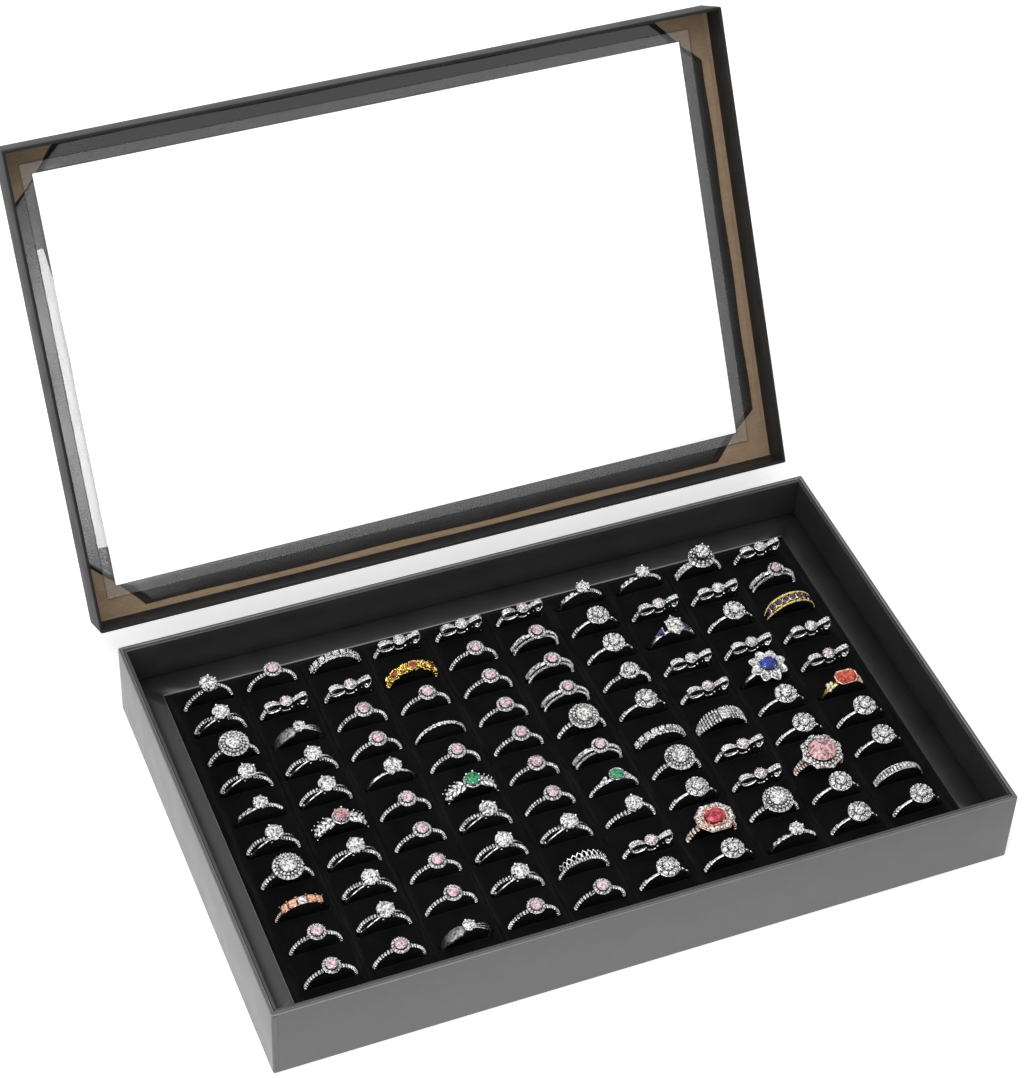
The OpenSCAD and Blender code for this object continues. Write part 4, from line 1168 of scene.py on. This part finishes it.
def base_paper():
    """The base's wrap: under the floor, up the walls, over the rim and down inside, as one
    closed sheet of paper thickness, with one edge of the paper lapped near the front left corner."""
    under, floor, inside = PAPER, 2 * PAPER, WALL - PAPER
    profile = [(TURN_UNDER, floor), (TURN_UNDER, under)]
    profile += bend(0.6, under, 0.0, 0.8, outward=False)
    profile += bend(0.0, BOX_H - 0.5, 0.5, BOX_H)
    profile += bend(1.15, BOX_H, WALL, BOX_H - 0.45, outward=False)
    profile += [(WALL, BOX_H - TURN_IN), (inside, BOX_H - TURN_IN), (inside, BOX_H - PAPER),
                (PAPER, BOX_H - PAPER), (PAPER, floor)]
    # painted light: the wrap is the black paper made lighter
    out = wrapped_round(BOX_W, BOX_D, CORNER_R, profile, "outer_paper", 0.03, (8, 9, 12, 13))
    lap = np.linspace(2.0, BOX_H - 0.4, 24)
    edge = LAP_WIDE + 0.12 * np.sin(lap * 0.9)
    x = np.stack([0 * lap + 0.5, edge * 0.6, edge], -1) - BOX_W / 2
    proud = np.full_like(x, -BOX_D / 2 - LAP_PROUD)
    top = np.stack([x, proud, np.repeat(lap[:, None], 3, 1)], -1)
    return out + slab(top, [0, LAP_PROUD + 0.02, 0], "outer_paper")


def soft_block(low, high, radius, finish, steps=3, spans=(1, 1, 1)):
    """A block with rounded edges: every surface point is the nearest point of a smaller block
    plus the radius in the direction away from it."""
    low, high = np.asarray(low, float), np.asarray(high, float)
    inner0, inner1 = low + radius, high - radius
    arc = radius * (1 - np.cos(np.linspace(0, np.pi / 2, steps + 1)))
    lines = [np.concatenate([low[k] + arc, np.linspace(inner0[k], inner1[k], spans[k] + 1)[1:-1],
                             high[k] - arc[::-1]]) for k in range(3)]
    points, faces, start = [], [], 0
    for k in range(3):
        i, j = (k + 1) % 3, (k + 2) % 3
        for end in (low[k], high[k]):
            a, b = np.meshgrid(lines[i], lines[j], indexing="ij")
            p = np.zeros(a.shape + (3,))
            p[..., i], p[..., j], p[..., k] = a, b, end
            f = quads(*a.shape) + start
            faces.append(f if end == high[k] else f[:, ::-1])
            points.append(p.reshape(-1, 3))
            start += a.size
    p = np.concatenate(points)
    core = np.clip(p, inner0, inner1)
    away = p - core
    p = core + away / np.maximum(np.linalg.norm(away, axis=1), 1e-9)[:, None] * radius
    _, first, same = np.unique(np.round(p, 5), axis=0, return_index=True, return_inverse=True)
    return shell(p[first], [same.reshape(-1)[np.concatenate(faces)]], finish)


def collar(side):
    """One wrapped strip against a wall, rounded along its edges."""
    mouth_w, mouth_d = BOX_W - 2 * WALL, BOX_D - 2 * WALL
    sizes = (mouth_w, mouth_d / 2) if side in ("front", "back") else (mouth_d - 2 * COLLAR_T, mouth_w / 2)
    half, reach = sizes[0] / 2 - 0.04, sizes[1]
    low, high = [-half, reach - COLLAR_T, LEDGE_Z], [half, reach - 0.05, COLLAR_TOP]
    # painted shade: the right strip is the same paper made darker
    skin = "inner_paper" if side == "right" else "paper"
    return placed(soft_block(low, high, COLLAR_EDGE, skin, spans=(24, 1, 3)), turn("Z", WAYS[side]))


def ledge(side):
    """A folded angle with mitred ends: its closed L section is carried from one mitre to the
    other, each point stopping where the 45 degree cut meets its distance from the wall."""
    cavity_w, cavity_d = BOX_W - 2 * WALL + 2 * PAPER, BOX_D - 2 * WALL + 2 * PAPER
    long, reach = (cavity_w, cavity_d / 2) if side in ("front", "back") else (cavity_d, cavity_w / 2)
    wide = (cavity_w - FIELD_W) / 2
    flat, under = wide - LEDGE_EDGE, LEDGE_Z - LEDGE_T
    section = [(0, LEDGE_Z), (flat, LEDGE_Z)]
    section += [(flat + LEDGE_EDGE * np.sin(a), LEDGE_Z - LEDGE_EDGE + LEDGE_EDGE * np.cos(a))
                for a in np.linspace(0.3, np.pi / 2, 5)]
    section += [(wide, FLOOR_Z), (wide - LEDGE_T, FLOOR_Z), (wide - LEDGE_T, under), (0, under)]
    section = np.array(section)
    n, steps = len(section), 25
    half = long / 2 - section[:, :1] - MITRE_GAP
    y, z = (np.broadcast_to(values, (n, steps)) for values in (reach - section[:, :1], section[:, 1:]))
    points = np.stack([half * np.linspace(-1, 1, steps), y, z], -1)
    index = np.arange(n * steps).reshape(n, steps)
    faces = quads(n, steps, True, False)
    # the lighter fold is wear and painted highlight, on the lit sides only; the right and front sides are
    # painted shade
    worn_and_lit = np.isin(np.arange(len(faces)) // (steps - 1), (2, 3, 4))
    skin = "inner_paper" if side in ("right", "front") else "paper"
    fold = "fold" if skin == "paper" else skin
    ends = np.array([index[::-1, 0], index[:, -1]])
    strip = shell(points, [faces[~worn_and_lit], faces[worn_and_lit], ends], [skin, fold, skin])
    return placed(strip, turn("Z", WAYS[side]))


def column_x(column):
    """Middle of a column of rings."""
    return (column + 0.5 - COLUMNS / 2) * PITCH_X


def foam_strip(column):
    """A velvet strip: its top is a shallow crown with drawn-down long sides and a soft pile
    unevenness; each slot presses a rounded dip into it, with a narrow slit in the middle."""
    seed = np.random.default_rng(40 + column)
    half, length = PITCH_X / 2 - FOAM_GAP / 2, FIELD_D - 2 * FOAM_GAP
    left, right = half + FOAM_SIDE * (column == 0), half + FOAM_SIDE * (column == COLUMNS - 1)
    t = np.sin(np.linspace(-1, 1, 37) * np.pi / 2)
    slot = np.array([1.12, 1.22, 1.5, 1.95, 2.5, 3.2, 4.2, 5.4, 6.8])
    slot = np.r_[-slot[::-1], 0, slot]
    middles = [FIELD_D / 2 - (row + 0.5) * PITCH_Y for row in range(ROWS)]
    y = np.sort(np.concatenate([[-length / 2, length / 2]] + [middle + slot for middle in middles]))
    gx, gy = np.meshgrid(t * np.where(t < 0, left, right), y, indexing="ij")
    side = np.where(gx < 0, left, right)
    edge = np.clip((np.abs(gx) - side + EDGE_ROUND) / EDGE_ROUND, 0, 1)
    z = FOAM_TOP - CROWN * (gx / side) ** 2 - EDGE_DROP * (1 - np.sqrt(1 - edge**2 * 0.98))
    off = (FIELD_D / 2 - gy) % PITCH_Y - PITCH_Y / 2
    fade = np.clip((SLOT_L / 2 - np.abs(gx)) / 1.6, 0, 1)
    fade = fade * fade * (3 - 2 * fade)
    z -= fade * (SLOT_DIP * np.exp(-(off / 1.6) ** 2) + SLIT_DEEP * (np.abs(off) < SLIT_HALF))
    for _ in range(5):
        k, p = seed.uniform(0.1, 0.5, 2), seed.uniform(0, 6.28, 2)
        z += 0.07 * np.sin(gx * k[0] * 2 + p[0]) * np.sin(gy * k[1] + p[1])
    z -= END_DROP * np.clip(np.abs(gy) - length / 2 + 1.0, 0, 1) ** 2
    top = np.stack([gx + column_x(column), gy, z], -1)
    return slab(top, np.stack([0 * z, 0 * z, CARD_TOP - z], -1), "velvet")


# ---- lid, drawn closed and then swung open ----

def lid_paper():
    """The lid's wrap: through the window, over the top, down the walls, round the rim and up
    inside, and the four window flaps folded back on the board with ragged 45 degree ends."""
    gap, inside = (LID_W - WINDOW_W) / 2, LID_WALL - PAPER
    bare, rim, under = PANEL_Z - BARE_STRIP, RIM_Z + PAPER, LID_TOP - PAPER
    profile = [(gap, PANEL_Z - PAPER)] + bend(gap, LID_TOP - 0.35, gap - 0.35, LID_TOP)
    profile += bend(0.7, LID_TOP, 0.0, LID_TOP - 0.7, outward=False)
    profile += bend(0.0, RIM_Z + 0.5, 0.5, RIM_Z)
    profile += bend(0.85, RIM_Z, LID_WALL, RIM_Z + 0.45, outward=False)
    profile += [(LID_WALL, bare), (inside, bare), (inside, rim), (PAPER, rim), (PAPER, under),
                (gap - PAPER, under), (gap - PAPER, PANEL_Z - PAPER)]
    # painted shade: the lid's wrap is the black paper made darker
    out = wrapped_round(LID_W, LID_D, LID_R, profile, "lid_paper", folds=(5, 6))
    seed = np.random.default_rng(7)
    v, u = np.linspace(0, 1, 9), np.linspace(-1, 1, 61)[:, None]
    for k, wide in enumerate(FLAP_WIDTHS):
        long, reach = (WINDOW_W, WINDOW_D / 2) if k % 2 == 0 else (WINDOW_D, WINDOW_W / 2)
        rag = np.cumsum(seed.normal(0, 0.16, (2, 9)), 1)
        cut = [long / 2 - FLAP_SHORT - FLAP_LEAN * wide * v + r for r in rag]
        x = u * np.where(u < 0, cut[0], cut[1])
        y = reach + wide * v + 0.25 * np.sin(u * 9 + k) * v**3
        sag = FLAP_SAG * (1 + np.sin(u * 11 + 2 * k)) * np.clip(v - 0.5, 0, 1) ** 2
        flap = slab(np.stack([x, y, PANEL_Z - PAPER - sag], -1), [0, 0, PAPER - 0.01], "flap_paper")
        out += placed(flap, turn("Z", 90 * k))
    return placed(out, SWUNG)


def window_sheet():
    """The clear sheet: flat where it is glued round its edge, with a slow ripple of a tenth of a
    millimetre over the window."""
    across, along_side = (np.r_[-1, np.linspace(-k, k, n), 1] for k, n in ((0.998, 61), (0.997, 41)))
    x, y = np.meshgrid(across, along_side, indexing="ij")
    calm = np.clip((0.965 - np.abs(x)) * 9, 0, 1) * np.clip((0.945 - np.abs(y)) * 7, 0, 1)
    z = PANEL_Z - PAPER + 0.1 * calm * (np.sin(x * 5 + y * 3) + 0.6 * np.sin(y * 9 - x * 2)) - 0.01
    top = np.stack([x * (WINDOW_W / 2 + CLEAR_LAP), y * (WINDOW_D / 2 + CLEAR_LAP), z], -1)
    # the sheet's cut edge is dark opaque paper, partly the edge line and partly painted shade
    return placed(slab(top, [0, 0, 0.01 - CLEAR_T], ["film", "film", "film_edge"]), SWUNG)


make("base_wrap_paper", base_paper(), "base", "grained_paper", "base_wrap")
for side in ("front", "back", "left", "right"):
    make("collar_strip_" + side, collar(side), "base", "grained_paper", "collar_" + side)
    make("ledge_angle_" + side, ledge(side), "base", "grained_paper", "ledge_" + side)
for column in range(COLUMNS):
    number = f"{column + 1:02d}"
    strip = foam_strip(column)
    strip = make("velvet_strip_" + number, strip, "base", "velvet_foam", "ring_roll_" + number)
make("lid_wrap_paper", lid_paper(), "lid", "grained_paper", "lid_wrap")
make("window_film", window_sheet(), "lid", "clear_sheet", "lid_window_sheet")

# ---- rings in their slots ----

wanted = {}
for column, letters in enumerate(LAYOUT):
    for row, letter in enumerate(letters):
        place = shift(column_x(column), FIELD_D / 2 - (row + 0.5) * PITCH_Y, RING_Z)
        wanted.setdefault(letter, []).append(place @ turn("X", RING_LEAN))
rings = {}
for letter, places in wanted.items():
    draw = DESIGNS[letter]
    name = SHARED_NODE.get(letter, draw.__name__)
    slot = METAL_SLOT.get(letter, "silver") + "_plate"
    shape, count = rings.get((name, slot), ([], 0))
    rings[name, slot] = shape + placed(draw(), *places), count + len(places)
for (name, slot), (shape, count) in rings.items():
    node = ("rings_" if count > 1 else "ring_") + name
    make(node + "_set", shape, "base", slot, node)

# ---- CAD pieces that stay as they are ----

for node, kind in {
    "base_board": "grey", "insert_card": "grey", "base_corner_stays": "stay",
    "lid_corner_stays": "stay", "base_bottom_sheet": "paper", "lid_board": "kraft",
}.items():
    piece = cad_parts[node]
    piece.data.materials.clear()
    piece.data.materials.append(FINISHES[kind])

# ---- floor, light and camera ----

def show(name, data):
    """An object for the data, linked into the scene."""
    made = bpy.data.objects.new(name, data)
    bpy.context.scene.collection.objects.link(made)
    return made


FLOOR_REACH, FLOOR_GLOW, ROOM_LIGHT, SEEN_LIGHT = 6, 0.5, 0.45, 1.0
LENS, SENSOR = 100.87, 36.0
EYE = (-0.3394, -0.7202, 0.90025)
AHEAD, UP = Vector((0.28835, 0.65895, -0.69472)).normalized(), Vector((0.2337, 0.6552, 0.7184))

corners = [(x * FLOOR_REACH, y * FLOOR_REACH, 0) for x, y in ((-1, -1), (1, -1), (1, 1), (-1, 1))]
floor_mesh = bpy.data.meshes.new("floor")
floor_mesh.from_pydata(corners, [], [(0, 1, 2, 3)])
floor = show("floor", floor_mesh)
paint = Finish("pale_floor", Base_Color=(0.86, 0.86, 0.86, 1), Roughness=0.9, Specular_IOR_Level=0.1)
seen = paint.node("ShaderNodeLightPath")
direct = paint.math("MAXIMUM", seen.outputs["Is Camera Ray"], seen.outputs["Is Glossy Ray"])
direct = paint.math("MAXIMUM", direct, seen.outputs["Is Transmission Ray"])
paint.shader.inputs["Emission Color"].default_value = (*WHITE, 1)
paint.set("Emission Strength", paint.math("MULTIPLY", direct, FLOOR_GLOW))
floor_mesh.materials.append(paint.material)

world = bpy.data.worlds.new("studio")
bpy.context.scene.world = world
world.use_nodes = True
sky, wire = world.node_tree.nodes, world.node_tree.links.new
path, blend = sky.new("ShaderNodeLightPath"), sky.new("ShaderNodeMixShader")
plain, shown = sky["Background"], sky.new("ShaderNodeBackground")
for background, strength in ((plain, ROOM_LIGHT), (shown, SEEN_LIGHT)):
    background.inputs[0].default_value, background.inputs[1].default_value = (*WHITE, 1), strength
either, every = sky.new("ShaderNodeMath"), sky.new("ShaderNodeMath")
either.operation = every.operation = "MAXIMUM"
for output, socket in (
    (path.outputs["Is Camera Ray"], either.inputs[0]),
    (path.outputs["Is Transmission Ray"], either.inputs[1]),
    (either.outputs[0], every.inputs[0]),
    (path.outputs["Is Glossy Ray"], every.inputs[1]),
    (every.outputs[0], blend.inputs[0]),
    (plain.outputs[0], blend.inputs[1]),
    (shown.outputs[0], blend.inputs[2]),
    (blend.outputs[0], sky["World Output"].inputs[0]),
):
    wire(output, socket)


def lamp(name, place, aim, size, watts, tall=None):
    """A soft box that faces a point, square unless its height is given."""
    light = bpy.data.lights.new(name, "AREA")
    light.shape = "RECTANGLE"
    light.size, light.size_y, light.energy = size, tall or size, watts
    made = show(name, light)
    made.visible_camera = False
    made.location = place
    made.rotation_euler = (Vector(aim) - Vector(place)).to_track_quat("-Z", "Y").to_euler()


lamp("soft_box_top", (-0.3, -0.2, 1.6), (0, 0, 0), 1.2, 14)
lamp("soft_box_left", (-1.5, -0.5, 0.9), (0, 0, 0), 0.9, 9)
lamp("strip_for_left_flap", (-0.07, -0.283, 0.262), (-0.143, 0.18, 0.1), 0.034, 0.14, 0.17)

lens = bpy.data.cameras.new("view")
lens.lens, lens.sensor_width, lens.sensor_fit = LENS, SENSOR, "AUTO"
lens.clip_start, lens.clip_end = 0.05, 30.0
camera = show("view", lens)
across = AHEAD.cross(UP).normalized()
axes = Matrix((across, across.cross(AHEAD), -AHEAD)).transposed()
camera.matrix_world = Matrix.Translation(EYE) @ axes.to_4x4()
bpy.context.scene.camera = camera
bpy.context.scene.view_settings.view_transform = "Standard"
